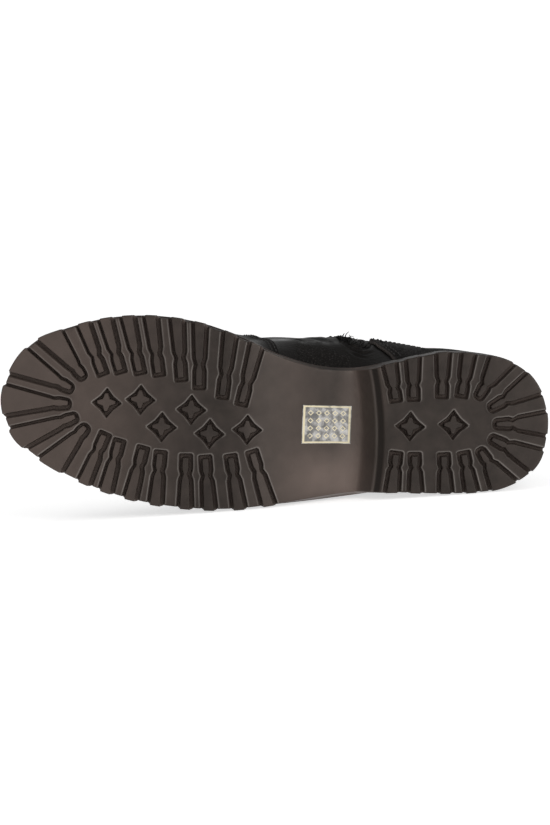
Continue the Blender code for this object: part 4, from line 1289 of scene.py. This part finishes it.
class ZipLooks(PropertyGroup):
    """Sizes and colours of the zip."""

    pitch: FloatProperty(
        name="Tooth pitch", description="Distance from tooth to tooth, in millimetres", default=1.7, min=1.0,
        max=4.0)
    metal: colour("Metal", "Colour of the slider and pull tab", (0.20, 0.19, 0.18))
    cloth: colour("Tape", "Colour of the zip's cloth", (0.011, 0.0105, 0.010))
    teeth: colour("Teeth", "Colour of the zip's teeth", (0.018, 0.017, 0.017))


class StageLooks(PropertyGroup):
    """Floor, light and camera."""

    floor: colour("Floor", "Colour of the floor", (0.90, 0.90, 0.90))
    glow: FloatProperty(
        name="Floor glow", description="Strength of the light from below the floor", default=0.62, min=0.0)
    sky_back: FloatProperty(
        name="Sky behind", description="Strength of the light from behind the boot", default=0.55, min=0.0)
    sky_sides: FloatProperty(
        name="Sky at the sides", description="Strength of the light from the toe's and heel's sides",
        default=1.2, min=0.0)
    sky_front: FloatProperty(
        name="Sky in front", description="Strength of the light from where the camera stands", default=0.1,
        min=0.0)
    key: FloatProperty(
        name="Key light", description="Power of the large light at the heel's side", default=34.0, min=0.0,
        unit="POWER")
    top: FloatProperty(
        name="Top light", description="Strength of the soft light from above", default=0.5, min=0.0)
    distance: FloatProperty(
        name="Distance", description="From the camera to the sole", default=1.2, min=0.3, unit="LENGTH")
    lean: FloatProperty(
        name="Lean", description="Turn of the camera towards the inner side of the sole",
        default=math.radians(2.6), unit="ROTATION")


class BootLooks(PropertyGroup):
    """Everything that can be changed on the boot's looks."""

    sole: PointerProperty(type=SoleLooks, name="Sole", description="Rubber sole")
    leather: PointerProperty(type=LeatherLooks, name="Leather", description="Leathers and lining")
    zipper: PointerProperty(type=ZipLooks, name="Zip", description="Zip")
    stage: PointerProperty(type=StageLooks, name="Stage", description="Floor, light and camera")


def looks():
    """The settings kept with the scene."""
    return bpy.context.scene.boot_looks


class BOOT_OT_sole(Operator):
    """Mould the lugged rubber sole, with drafted grooves and rounded rims"""

    bl_idname = "boot.make_sole"
    bl_label = "Make Sole"

    def execute(self, context):
        settings = looks().sole
        border = self.border(settings.edge_round)
        spots = lattice(border, TREAD_SPACING)
        spots = spots[tread_into(spots)[0] < -TREAD_CLEAR]
        plan, faces, rim = triangulated(border, self.tread_lines(), spots)
        height, light, shade = tread_height(plan)
        points, rows, light, top_plan = self.sides(plan, height, rim, settings.edge_round, light)
        cap_plan, cap_faces, _ = triangulated(top_plan, [], lattice(top_plan, TOP_SPACING))
        made = [tuple(f[::-1]) for f in faces] + walls(rows) + [tuple(f + len(points)) for f in cap_faces]
        points = np.vstack([points, bent(cap_plan, SLAB_HEIGHT)])
        look = rubber_look(settings.rubber, settings.rim_highlight)
        piece = add_piece("outsole_rubber", points, made, [look], "sole_rubber", ["outsole"])
        deep = np.maximum(height, 0.0) / LUG_DEPTH
        for name, values in (("rim", light), ("deep", deep), ("shade", shade)):
            attach(piece.data, name, np.concatenate((values, np.zeros(len(points) - len(values)))))
        # Wear, dust and painted light along the sole, for the rubber's colour
        attach(piece.data, "wear_and_light", self.wear_and_light(points))
        outward_faces(piece.data)
        piece.data.set_sharp_from_angle(angle=SOLE_SHARP)
        even_shading(piece)
        return {"FINISHED"}

    def border(self, edge):
        """The tread's outer edge, with points where each rib rises and falls."""
        ramps = []
        for middle, half in RIBS:
            reach = half + np.array((-1, 0, 1)) * RIB_RAMP / 2
            ramps += [middle - reach, middle + reach]
        even = np.arange(0.0, SOLE.length, EDGE_SPACING)
        s = np.sort(np.concatenate((even, np.concatenate(ramps) % SOLE.length)))
        s = s[np.concatenate(([True], np.diff(s) > EDGE_LEAST))]
        return SOLE.at(s, edge + scallop(s))

    def tread_lines(self):
        """The lines that the tread's faces follow: round every lug and star, and along the breast."""
        lines = [line for lug in LUGS for line in lug.lines()]
        lines += [line for centre in DIAMONDS for line in diamond_lines(np.array(centre))]
        for x in BREAST_LINES:
            for cut in BREAST_CUTS:
                own = np.full(len(BREAST_Y), x + cut)
                lines.append(np.column_stack((own + breast_shift(own, BREAST_Y, 0.0), BREAST_Y)))
        return lines

    def wear_and_light(self, points):
        """How worn and dusty the rubber is at points of the sole, with painted light on the waist's slope by
        the breast and a painted pool of light on the lower side of the waist.
        """
        low = np.linalg.norm((points[:, :2] - LOW_WAIST_LIGHT_AT) / np.array(LOW_WAIST_LIGHT_REACH), axis=1)
        return np.interp(points[:, 0], WEAR_AND_LIGHT_X, WEAR_AND_LIGHT) + LOW_WAIST_LIGHT * np.exp(-low ** 2)

    def sides(self, plan, height, rim, edge, light):
        """Points and rows from the tread's rim up over the rand, their light, and the plan of the top."""
        s = SOLE.nearest(plan[rim])
        rib = scallop(s)
        step = np.maximum(height[rim], 0.0)
        turn = edge * ROUND_SHARE
        sections = (
            (turn, 1.0, step + turn, 0.0),
            (0.0, 1.0, step + edge, 0.0),
            (0.0, 1.0, np.maximum(step + edge + SIDE_LEAST, SIDE_FROM), 0.0),
            *SIDE_SECTIONS,
        )
        points = [bent(plan, height)]
        lights = [light]
        for inset, share, row_height, row_light in sections:
            line = SOLE.at(s, inset + rib * share)
            points.append(bent(line, row_height))
            lights.append(np.full(len(rim), row_light))
        rows = stacked_rows(rim, len(plan), len(sections))
        return np.vstack(points), rows, np.concatenate(lights), line


class BOOT_OT_insole(Operator):
    """Lay the padded footbed inside the upper"""

    bl_idname = "boot.make_insole"
    bl_label = "Make Insole"

    def execute(self, context):
        border = SOLE.at(np.arange(0.0, SOLE.length, 2.5), INSOLE_INSET + INSOLE_EDGE)
        plan, faces, rim = triangulated(border, [], lattice(border, 4.0))
        depth, _ = line_distance(np.vstack([border, border[:1]]), plan)
        dish = -INSOLE_DISH * eased_step(depth / 14.0) * eased_step((120.0 - plan[:, 0]) / 60.0)
        pad = INSOLE_PAD * eased_step(depth / 5.0)
        seat = sole_top(plan[:, 0]) + SEAT_GAP
        points = [np.column_stack((plan, seat + INSOLE_THICKNESS + pad + dish))]
        around = SOLE.nearest(plan[rim])
        for inset, height in INSOLE_SIDE:
            line = SOLE.at(around, INSOLE_INSET + inset)
            points.append(np.column_stack((line, sole_top(line[:, 0]) + SEAT_GAP + height)))
        rows = stacked_rows(rim, len(plan), len(INSOLE_SIDE))
        count = len(plan) + len(rim) * len(INSOLE_SIDE)
        points.append(np.column_stack((plan, seat)))
        made = [tuple(f) for f in faces] + walls(rows)
        made += [tuple(f[::-1] + count) for f in faces] + strip(rows[-1], rim + count)
        look = cloth_look("insole_cloth", looks().leather.footbed, 0.0011, 0.35)
        piece = add_piece("insole_footbed", np.vstack(points), made, [look], "insole_fabric", ["insole"])
        outward_faces(piece.data)
        return {"FINISHED"}


def prism(name, outline, low, high):
    """A block with a side-view outline between two distances towards the medial side, in millimetres."""
    count = len(outline)
    points = [(x, y, z) for y in (low, high) for x, z in outline]
    faces = [tuple(range(count)), tuple(range(2 * count - 1, count - 1, -1))]
    faces += [(i, i + count, (i + 1) % count + count, (i + 1) % count) for i in range(count)]
    mesh = bpy.data.meshes.new(name)
    mesh.from_pydata(points, [], faces)
    outward_faces(mesh)
    return mesh


def zip_outline(width, steps):
    """A long slot of a width along the zip, round at its foot and open past the collar."""
    angles = np.linspace(0.0, math.pi, steps)
    aside, below = np.outer(np.cos(angles), ZIP_ACROSS), np.outer(np.sin(angles), ZIP_ALONG)
    arc = ZIP_FOOT + aside * width / 2 - below * width / 2
    ends = [ZIP_HEAD + ZIP_ACROSS * width / 2, ZIP_HEAD - ZIP_ACROSS * width / 2]
    return np.vstack([ends[:1], arc, ends[1:]])


def cut_out(mesh, cutter):
    """The first mesh with the second taken out of it."""
    items = [bpy.data.objects.new(m.name, m) for m in (mesh, cutter)]
    for item in items:
        bpy.context.scene.collection.objects.link(item)
    cut = items[0].modifiers.new("cut", "BOOLEAN")
    cut.operation = "DIFFERENCE"
    cut.object = items[1]
    seen = items[0].evaluated_get(bpy.context.evaluated_depsgraph_get())
    made = bpy.data.meshes.new_from_object(seen)
    for item in items:
        bpy.data.objects.remove(item)
    return made


class BOOT_OT_upper(Operator):
    """Draw the leather upper over the last, with its collar, lining and the slot for the zip"""

    bl_idname = "boot.make_upper"
    bl_label = "Make Upper"

    def execute(self, context):
        turns = self.spread_turns(300)
        levels = np.concatenate((np.linspace(0.0, 0.26, 56)[:-1], np.linspace(0.26, 1.0, 66)))
        sections = [(level, 0.0, 0.0) for level in levels]
        for angle in np.linspace(0.0, math.pi, 7)[1:-1]:
            sections.append((1.0, -WALL / 2 * (1 - math.cos(angle)), COLLAR_RISE * math.sin(angle)))
        outer_rows = len(levels) + 3
        sections += [(level, -WALL, 0.0) for level in levels[::-3]]
        points = []
        for level, offset, rise in sections:
            row, _ = off_last(np.full(len(turns), level), turns, offset)
            row[:, 2] += rise
            points.append(row)
        count = len(turns)
        faces = []
        groups = []
        for k in range(len(sections)):
            low = np.arange(k * count, (k + 1) * count)
            high = np.arange(count) + ((k + 1) % len(sections)) * count
            faces += strip(low, high)
            groups += [0 if k < outer_rows else 1] * count
        mesh = bpy.data.meshes.new("upper_leather")
        mesh.from_pydata(np.vstack(points).tolist(), [], [tuple(map(int, f)) for f in faces])
        mesh.materials.append(leather_look("upper_leather", UPPER_HIDE))
        mesh.materials.append(cloth_look("lining_cloth", looks().leather.lining, 0.0008, 0.25))
        mesh.polygons.foreach_set("material_index", np.array(groups, np.int32))
        outward_faces(mesh)
        made = cut_out(mesh, prism("slot", zip_outline(SLOT_WIDTH, SLOT_STEPS), SLOT_Y, FAR))
        made.transform(Matrix.Translation(ORIGIN) @ Matrix(TURN.tolist()).to_4x4() @ Matrix.Scale(MM, 4))
        self.paint(made)
        show("upper_leather", made, "upper_leather", ["upper"], sharp=50.0)
        return {"FINISHED"}

    def spread_turns(self, count):
        """Turns round the last, closest together where the zip and the open quarters are."""
        spots = (0.0, 0.10, 0.16, 0.19, 0.23, 0.31, 0.34, 0.42, 0.50, 0.60, 0.68, 0.84, 0.92, 1.0)
        density = (0.6, 0.7, 1.2, 2.4, 4.4, 4.4, 1.4, 1.0, 0.9, 1.0, 1.3, 1.3, 0.7, 0.6)
        fine = np.linspace(0.0, 1.0, 4000)
        total = np.cumsum(np.interp(fine, spots, density))
        return np.interp(np.arange(count) / count, (total - total[0]) / (total[-1] - total[0]), fine)

    def paint(self, mesh):
        """Keep how smooth and how shiny the leather is at each point."""
        places = np.zeros(len(mesh.vertices) * 3)
        mesh.vertices.foreach_get("co", places)
        x, y, z = ((places.reshape(-1, 3) - ORIGIN) @ TURN / MM).T
        inner = eased_step(y / INNER_FADE)
        quarter = inside_span(x, QUARTER_X, QUARTER_FADE) * eased_step((QUARTER_TOP - z) / QUARTER_FADE)
        quarter = inner * quarter
        grainy = inside_span(x, GRAINY_X, GRAINY_FADE) * eased_step((GRAINY_TOP - z) / GRAINY_FADE)
        attach(mesh, "smooth", SMOOTH * (1.0 - quarter) + quarter * (1.0 - grainy))
        shine = np.zeros(len(x))
        for row in SHINES:
            gap, _ = line_distance(np.array(row.line), np.column_stack((x, z)))
            shine = np.maximum(shine, row.strength * np.exp(-(gap / row.width) ** 2))
        attach(mesh, "shine", shine * inner + PLAIN_SHINE * (1.0 - quarter))


def overlay(name, seam, count, rows, look, edge_width, slot, replaced):
    """A leather overlay behind a seam: its outer face thins to a rounded edge along the seam."""
    turns = seam.turns(0.0, count)
    shares = (1.0 - np.cos(np.linspace(0.0, math.pi, rows))) / 2
    low, high = seam.spans(turns, 0.0)[:, :, None].swapaxes(0, 1)
    level = (low + (high - low) * shares).ravel()
    turn = np.repeat(turns, rows)
    depth = np.maximum(seam.depth(last(level, turn)), 0.0)
    edge = np.sqrt(1.0 - (1.0 - np.clip(depth / OVERLAY_THINNING, 0.0, 1.0)) ** 2)
    outer, _ = off_last(level, turn, SEAT_GAP + OVERLAY * (OVERLAY_EDGE + (1.0 - OVERLAY_EDGE) * edge))
    inner, _ = off_last(level, turn, SEAT_GAP)
    faces = sheet_faces(len(turns), rows)
    piece = add_piece(name, np.vstack([outer, inner]), faces, [look], slot, [replaced])
    # A band along the seam, for the painted shade on the vamp's edge and the painted highlight on the heel
    # leather's edge
    attach(piece.data, "edge", np.tile(np.exp(-(depth / edge_width) ** 2), 2))
    outward_faces(piece.data)
    piece.data.set_sharp_from_angle(angle=OVERLAY_SHARP)


class BOOT_OT_overlays(Operator):
    """Lay the vamp and the grained heel leather over the upper"""

    bl_idname = "boot.make_overlays"
    bl_label = "Make Vamp and Heel Leather"

    def execute(self, context):
        vamp = leather_look("vamp_leather", VAMP_HIDE)
        heel = leather_look("heel_leather", HEEL_HIDE)
        # The vamp's wide band of painted shade, and the heel leather's narrow painted highlight
        overlay("vamp_leather", VAMP_LINE, 260, 90, vamp, 7.0, "vamp_leather", "vamp")
        overlay("heel_leather", COUNTER_LINE, 220, 80, heel, 0.9, "counter_leather", "heel_counter")
        return {"FINISHED"}


class SideFace:
    """The medial face of the creased last, found from the side."""

    def __init__(self):
        turns = np.linspace(0.02, 0.48, 260)
        levels = np.linspace(0.0, 1.0, 200)
        points, _ = off_last(np.repeat(levels, len(turns)), np.tile(turns, len(levels)), 0.0)
        faces, _ = grid_faces(len(levels), len(turns))
        self.tree = BVHTree.FromPolygons(points.tolist(), faces.tolist())

    def at(self, seen, offset=0.0):
        """Points that lie off the face by an offset, and its normals, from points in side view."""
        offset = np.broadcast_to(offset, (len(seen),))
        points = []
        normals = []
        for (x, z), out in zip(seen, offset):
            hit, normal, _, _ = self.tree.ray_cast(Vector((x, 2 * FAR, z)), Vector((0, -1, 0)))
            if hit is None:
                raise RuntimeError(f"no leather at {x:.1f}, {z:.1f}")
            if normal.y < 0:
                normal = -normal
            points.append(hit + normal * float(out))
            normals.append(normal)
        return np.array(points), np.array(normals)


def measured(path):
    """Distances along a line of points."""
    return np.concatenate(([0.0], np.cumsum(np.linalg.norm(np.diff(path, axis=0), axis=1))))


def along_path(path, normals, distances):
    """Points, directions and normals at distances along a line."""
    marks = measured(path)

    def read(rows, at):
        return np.column_stack([np.interp(at, marks, rows[:, k]) for k in range(3)])

    direction = unit(read(path, distances + 0.3) - read(path, distances - 0.3))
    normal = read(normals, distances)
    normal = unit(normal - direction * (normal * direction).sum(axis=1, keepdims=True))
    return read(path, distances), direction, normal


def stitches(path, normals, pitch):
    """Points and faces of a row of stitches along a line on the leather."""
    shares, sizes, rises = STITCH_RINGS.T
    faces = closed_body(len(STITCH_RINGS), STITCH_SIDES)
    parts = []
    for start in np.arange(pitch * 0.5, measured(path)[-1] - STITCH_LENGTH, pitch):
        spots, direction, normal = along_path(path, normals, start + shares * STITCH_LENGTH)
        centres = spots + normal * rises[:, None]
        across = np.cross(normal, direction)
        parts.append((ring_points(centres, across, normal, STITCH_RADIUS * sizes, STITCH_SIDES), faces))
    return joined(parts)


def joined(parts):
    """Several sets of points and faces as one."""
    points = []
    faces = []
    count = 0
    for own_points, own_faces in parts:
        points.append(own_points)
        faces += [tuple(i + count for i in f) for f in own_faces]
        count += len(own_points)
    return np.vstack(points), faces


class BOOT_OT_stitches(Operator):
    """Sew the rows of stitches along the seams, the zip and the collar"""

    bl_idname = "boot.make_stitches"
    bl_label = "Make Stitches"

    def execute(self, context):
        settings = looks().leather
        pitch = settings.stitch
        top = SEAT_GAP + OVERLAY
        rows = []
        for seam in (VAMP_LINE, COUNTER_LINE):
            for inset in STITCH_INSETS:
                turns = seam.turns(inset, 240)
                low, high = seam.spans(turns, inset).T
                rows.append(self.sewn(high, turns, top, pitch))
                front = low > 0.004
                for part in (front & (turns < 0.5), front & (turns >= 0.5)):
                    if seam is COUNTER_LINE and part.sum() > 4:
                        rows.append(self.sewn(low[part], turns[part], top, pitch))
        collar = np.linspace(*COLLAR_TURNS, 400)
        rows.append(self.sewn(np.full(len(collar), COLLAR_LEVEL), collar, 0.0, pitch))
        outline = finely(zip_outline(ZIP_STITCH_WIDTH, SLOT_STEPS), 1.0)
        rows.append(stitches(*SideFace().at(outline[outline[:, 1] < ZIP_STITCH_TOP]), pitch))
        points, faces = joined(rows)
        add_piece("seam_stitches", points, faces, [thread_look(settings.thread)], None, sharp=80.0)
        return {"FINISHED"}

    def sewn(self, levels, turns, offset, pitch):
        """A row of stitches through levels and turns of the last."""
        points, normals = off_last(levels, turns, offset)
        return stitches(points, normals, pitch)


class BOOT_OT_zip(Operator):
    """Weave the zip's tape, set its teeth and fray its lower end"""

    bl_idname = "boot.make_zip"
    bl_label = "Make Zip"

    def execute(self, context):
        settings = looks().zipper
        self.side = SideFace()
        cloth = cloth_look("tape_cloth", settings.cloth, 0.0009, 0.6)
        self.tape(cloth)
        self.teeth(settings)
        self.frayed(cloth)
        return {"FINISHED"}

    def tape(self, cloth):
        """The cloth strip in the slot, thicker along the teeth, and its wider back behind the leather."""
        across = np.linspace(-1.0, 1.0, 15)
        parts = []
        for reach, end_z, top, thickness, bead in TAPE_LAYERS:
            length = (end_z - ZIP_FOOT[1]) / ZIP_ALONG[1]
            round_end = -reach * np.cos(np.linspace(0.08, math.pi / 2, 10))
            stations = np.concatenate((round_end, np.linspace(1.0, length, 90)))
            widths = np.where(stations < 0, np.sqrt(np.maximum(reach ** 2 - stations ** 2, 0.0)), reach)
            sideways = (widths[:, None] * across)[..., None] * ZIP_ACROSS
            seen = ZIP_FOOT + stations[:, None, None] * ZIP_ALONG + sideways
            raised = top + bead * np.exp(-((np.abs(across) * reach - TAPE_BEAD_AT) / TAPE_BEAD_REACH) ** 2)
            face, normals = self.side.at(seen.reshape(-1, 2), np.tile(raised, len(stations)))
            points = np.vstack([face, face - normals * thickness])
            parts.append((points, sheet_faces(len(stations), len(across))))
        points, faces = joined(parts)
        piece = add_piece("zip_tape_cloth", points, faces, [cloth], "tape_fabric", ["zip_tape"])
        outward_faces(piece.data)

    def teeth(self, settings):
        """Two rows of moulded teeth that mesh along the middle, parting a little above the slider."""
        heights = np.arange(0.0, (ZIP_TOP_Z - ZIP_FOOT[1]) / ZIP_ALONG[1], settings.pitch / 2)
        seen = ZIP_FOOT + heights[:, None] * ZIP_ALONG
        spots, normals = self.side.at(seen, TAPE_TOP + TOOTH_SEAT)
        direction = unit(np.gradient(spots, axis=0))
        centre = TOOTH.mean(axis=0)
        body = closed_body(len(TOOTH_LAYERS), len(TOOTH))
        parts = []
        for k, (spot, normal, ahead) in enumerate(zip(spots, normals, direction)):
            sideways = unit(np.cross(ahead, normal)) * (1 if k % 2 else -1)
            parted = PARTED_BELOW + PARTED_MORE * max(0.0, (seen[k, 1] - SLIDER_Z) / PARTED_STRETCH)
            points = []
            for lift, size in TOOTH_LAYERS:
                shape = centre + (TOOTH - centre) * size
                flat = np.outer(shape[:, 0] + parted, sideways) + np.outer(shape[:, 1], ahead)
                points.append(spot + flat + normal * lift)
            parts.append((np.vstack(points), body))
        points, faces = joined(parts)
        look = plastic_look("teeth_plastic", settings.teeth)
        piece = add_piece("zip_teeth_rows", points, faces, [look], "teeth_plastic", ["zip_teeth"])
        outward_faces(piece.data)

    def frayed(self, cloth):
        """Loose threads at the tape's lower end, a few that stand up, and small folds beside them."""
        spread = np.random.default_rng(7)
        t = np.linspace(0.0, 1.0, THREAD_STEPS)
        parts = []
        for k in range(LOOSE_THREADS):
            aside = k / (LOOSE_THREADS - 1) * LOOSE_WIDTH + LOOSE_FROM
            root = ZIP_FOOT - ZIP_ALONG * LOOSE_BELOW + ZIP_ACROSS * aside
            drop = np.array((-2.6 * spread.random() - 0.4, -4.0 - 7.5 * spread.random()))
            sway = 0.7 * (spread.random() - 0.5) * np.sin(t * (4.0 + 5.0 * spread.random()))
            seen = root + np.outer(t, drop) + np.outer(sway, (1.0, 0.2))
            lift = -0.5 + eased_step(t * 4.0) * 0.85 + (0.2 + 1.5 * spread.random()) * t ** 2
            path, _ = self.side.at(seen, lift)
            parts.append(tube(path, 0.30 * (1.0 - 0.55 * t)))
        for x, height, hook in STANDING_THREADS:
            path, _ = self.side.at(np.tile((x, STANDING_Z), (len(t), 1)), 0.2 + height * t)
            parts.append(tube(path - np.outer(hook * t ** 3, (1.0, 0.0, 0.0)), 0.34 * (1.0 - 0.6 * t)))
        for k in range(FOLDS):
            seen = FOLD_FOOT + FOLD_STEP * k + np.outer(t, FOLD_WAY)
            path, _ = self.side.at(seen, 0.15 + 0.6 * np.sin(math.pi * t))
            parts.append(tube(path, 0.60 * (0.35 + 0.65 * np.sin(math.pi * np.clip(t, 0.06, 0.94)))))
        points, faces = joined(parts)
        add_piece("zip_frayed_threads", points, faces, [cloth], "tape_fabric", sharp=80.0)


def tube(path, radii):
    """Points and faces of a thin thread along a line."""
    direction = unit(np.gradient(path, axis=0))
    side = unit(np.cross(direction, NO_THREAD_WAY))
    points = ring_points(path, side, np.cross(direction, side), radii, TUBE_SIDES)
    return points, closed_body(len(path), TUBE_SIDES)


class BOOT_OT_slider(Operator):
    """Round and plate the zip's slider and pull tab"""

    bl_idname = "boot.make_slider"
    bl_label = "Make Slider and Pull"

    def execute(self, context):
        for node, slot, body in (("zip_slider", "slider_metal", "boot"), ("zip_pull", "pull_metal", "pull")):
            mesh = frame["nodes"][node].data.copy()
            mesh.materials.clear()
            mesh.materials.append(metal_look(slot, looks().zipper.metal))
            self.rounded(mesh)
            outward_faces(mesh)
            even_shading(show(f"{node}_plated", mesh, slot, [node], body))
        return {"FINISHED"}

    def rounded(self, mesh):
        """Make each flat side one face, and round the edges that stand out and have room for it."""
        work = bmesh.new()
        work.from_mesh(mesh)
        bmesh.ops.remove_doubles(work, verts=work.verts, dist=WELD)
        bmesh.ops.dissolve_limit(work, angle_limit=FLAT_ANGLE, verts=work.verts, edges=work.edges)
        round_off = METAL_ROUND * MM
        standing = [e for e in work.edges if e.is_convex and e.calc_face_angle(0.0) > METAL_EDGE_ANGLE]
        edges = [e for e in standing if e.calc_length() > round_off]
        bmesh.ops.bevel(work, geom=edges, offset=round_off, segments=3, profile=0.5, affect="EDGES")
        bmesh.ops.triangulate(work, faces=[f for f in work.faces if len(f.verts) > 4])
        work.to_mesh(mesh)
        work.free()


class BOOT_OT_foil(Operator):
    """Press the thin foil patch onto the waist"""

    bl_idname = "boot.make_foil"
    bl_label = "Make Foil Patch"

    def execute(self, context):
        settings = looks().sole
        across = np.linspace(0.0, 1.0, 41)
        along = np.linspace(0.0, 1.0, 49)
        grid = np.array([(u, v) for v in along for u in across])
        plan = FOIL_LOW + grid[:, ::-1] * (FOIL_HIGH - FOIL_LOW)
        curl = np.exp(-np.linalg.norm((grid - 1.0) * FOIL_CURL_FADE, axis=1) ** 2)
        top = bent(plan, 0.0)
        top[:, 2] -= FOIL_LIFT + FOIL_CURL * curl
        points = np.vstack([top, top + (0.0, 0.0, FOIL_THICKNESS)])
        look = foil_look(settings.foil, settings.ink)
        piece = add_piece("waist_foil", points, sheet_faces(len(along), len(across)), [look], None)
        for name, values in zip(("patch_across", "patch_along"), grid.T):
            attach(piece.data, name, np.tile(values, 2))
        outward_faces(piece.data)
        return {"FINISHED"}


class BOOT_OT_stage(Operator):
    """Set the pale floor, the soft light and the camera"""

    bl_idname = "boot.make_stage"
    bl_label = "Make Stage"

    def execute(self, context):
        settings = looks().stage
        self.floor(settings)
        self.light(settings)
        self.camera(settings)
        return {"FINISHED"}

    def floor(self, settings):
        """A wide round floor."""
        work = bmesh.new()
        bmesh.ops.create_circle(work, cap_ends=True, cap_tris=True, segments=96, radius=FLOOR_RADIUS)
        mesh = bpy.data.meshes.new("floor")
        work.to_mesh(mesh)
        work.free()
        mesh.materials.append(floor_look(settings.floor, settings.glow))
        floor = bpy.data.objects.new("floor", mesh)
        bpy.context.scene.collection.objects.link(floor)

    def light(self, settings):
        """A sky that is brighter behind the boot than in front, a large light and a soft one above."""
        scene = bpy.context.scene
        scene.view_settings.view_transform = "Standard"
        scene.world = bpy.data.worlds.new("studio")
        scene.world.use_nodes = True
        sky = Graph(scene.world.node_tree)
        way = sky.node("ShaderNodeTexCoord", output="Generated")
        across, ahead, above = sky.parts(way)
        aside = across.math("ABSOLUTE").ramp(0.08, 0.34)
        front = settings.sky_front + aside * (settings.sky_sides - settings.sky_front)
        behind = ahead.ramp(-0.2, 0.3)
        lit = front + behind * (settings.sky_back - front)
        lit = lit * (1 - 0.7 * above.ramp(0.15, 0.7))
        seen = sky.node("ShaderNodeLightPath", output="Is Camera Ray")
        sky.feed(sky.tree.nodes["Background"].inputs["Strength"], lit + seen * (SEEN_SKY - lit))
        sky.feed(sky.tree.nodes["Background"].inputs["Color"], (1.0, 1.0, 1.0, 1.0))
        key = bpy.data.lights.new("key_light", "AREA")
        key.energy = settings.key
        key.size = KEY_SIZE
        top = bpy.data.lights.new("top_light", "SUN")
        top.energy = settings.top
        top.angle = TOP_ANGLE
        for lamp, place in ((key, KEY_PLACE), (top, TOP_PLACE)):
            item = bpy.data.objects.new(lamp.name, lamp)
            item.location = place
            item.rotation_euler = (LIGHTS_AIM - item.location).to_track_quat("-Z", "Y").to_euler()
            item.visible_camera = False
            scene.collection.objects.link(item)

    def camera(self, settings):
        """A camera square to the sole, leaning to its inner side, that frames the heel and the toe."""
        heel, toe = placed([HEEL_BACK[0], TOE_TIP[0]])
        back = TURN @ np.array((0.0, math.sin(settings.lean), -math.cos(settings.lean)))
        axis = unit((heel - toe) - back * ((heel - toe) @ back))
        over = np.cross(back, axis)
        wide, tall = np.array(HEEL_BACK[1]) - np.array(TOE_TIP[1])
        tilt = math.atan2(-tall, wide)
        right = math.cos(tilt) * axis - math.sin(tilt) * over
        up = math.sin(tilt) * axis + math.cos(tilt) * over
        eye = (heel + toe) / 2 + back * settings.distance
        spots = []
        for point in (heel, toe):
            away = point - eye
            spots.append(np.array((away @ right, away @ up)) / -(away @ back))
        focal = math.hypot(wide, tall) / np.linalg.norm(spots[0] - spots[1])
        middle = (np.array(HEEL_BACK[1]) + np.array(TOE_TIP[1])) / 2 - np.array(PICTURE) / 2
        aim = (spots[0] + spots[1]) / 2 - np.array((middle[0], -middle[1])) / focal
        eye = eye + (right * aim[0] + up * aim[1]) * settings.distance
        lens = bpy.data.cameras.new("camera")
        lens.sensor_width = SENSOR
        lens.lens = focal * SENSOR / max(PICTURE)
        camera = bpy.data.objects.new("camera", lens)
        turn = Matrix(np.column_stack((right, up, back)).tolist()).to_4x4()
        camera.matrix_world = Matrix.Translation(eye) @ turn
        bpy.context.scene.collection.objects.link(camera)
        bpy.context.scene.camera = camera


class BOOT_PT_panel(Panel):
    """The boot's pieces and their settings"""

    bl_idname = "BOOT_PT_panel"
    bl_label = "Ankle Boot"
    bl_space_type = "VIEW_3D"
    bl_region_type = "UI"
    bl_category = "Boot"

    def draw(self, context):
        for operator in OPERATORS:
            self.layout.operator(operator.bl_idname)
        for group in (looks().sole, looks().leather, looks().zipper, looks().stage):
            box = self.layout.box()
            for name in group.__annotations__:
                box.prop(group, name)


OPERATORS = (
    BOOT_OT_sole, BOOT_OT_insole, BOOT_OT_upper, BOOT_OT_overlays, BOOT_OT_zip, BOOT_OT_slider,
    BOOT_OT_stitches, BOOT_OT_foil, BOOT_OT_stage,
)
CLASSES = (SoleLooks, LeatherLooks, ZipLooks, StageLooks, BootLooks, *OPERATORS, BOOT_PT_panel)


def register():
    """Add the classes and the settings to Blender."""
    for item in CLASSES:
        bpy.utils.register_class(item)
    bpy.types.Scene.boot_looks = PointerProperty(type=BootLooks)


def unregister():
    """Take the classes and the settings out again."""
    del bpy.types.Scene.boot_looks
    for item in reversed(CLASSES):
        bpy.utils.unregister_class(item)


def main():
    """Make every piece."""
    register()
    for operator in OPERATORS:
        group, name = operator.bl_idname.split(".")
        getattr(getattr(bpy.ops, group), name)()
    bpy.context.view_layer.update()


if __name__ == "__main__":
    main()
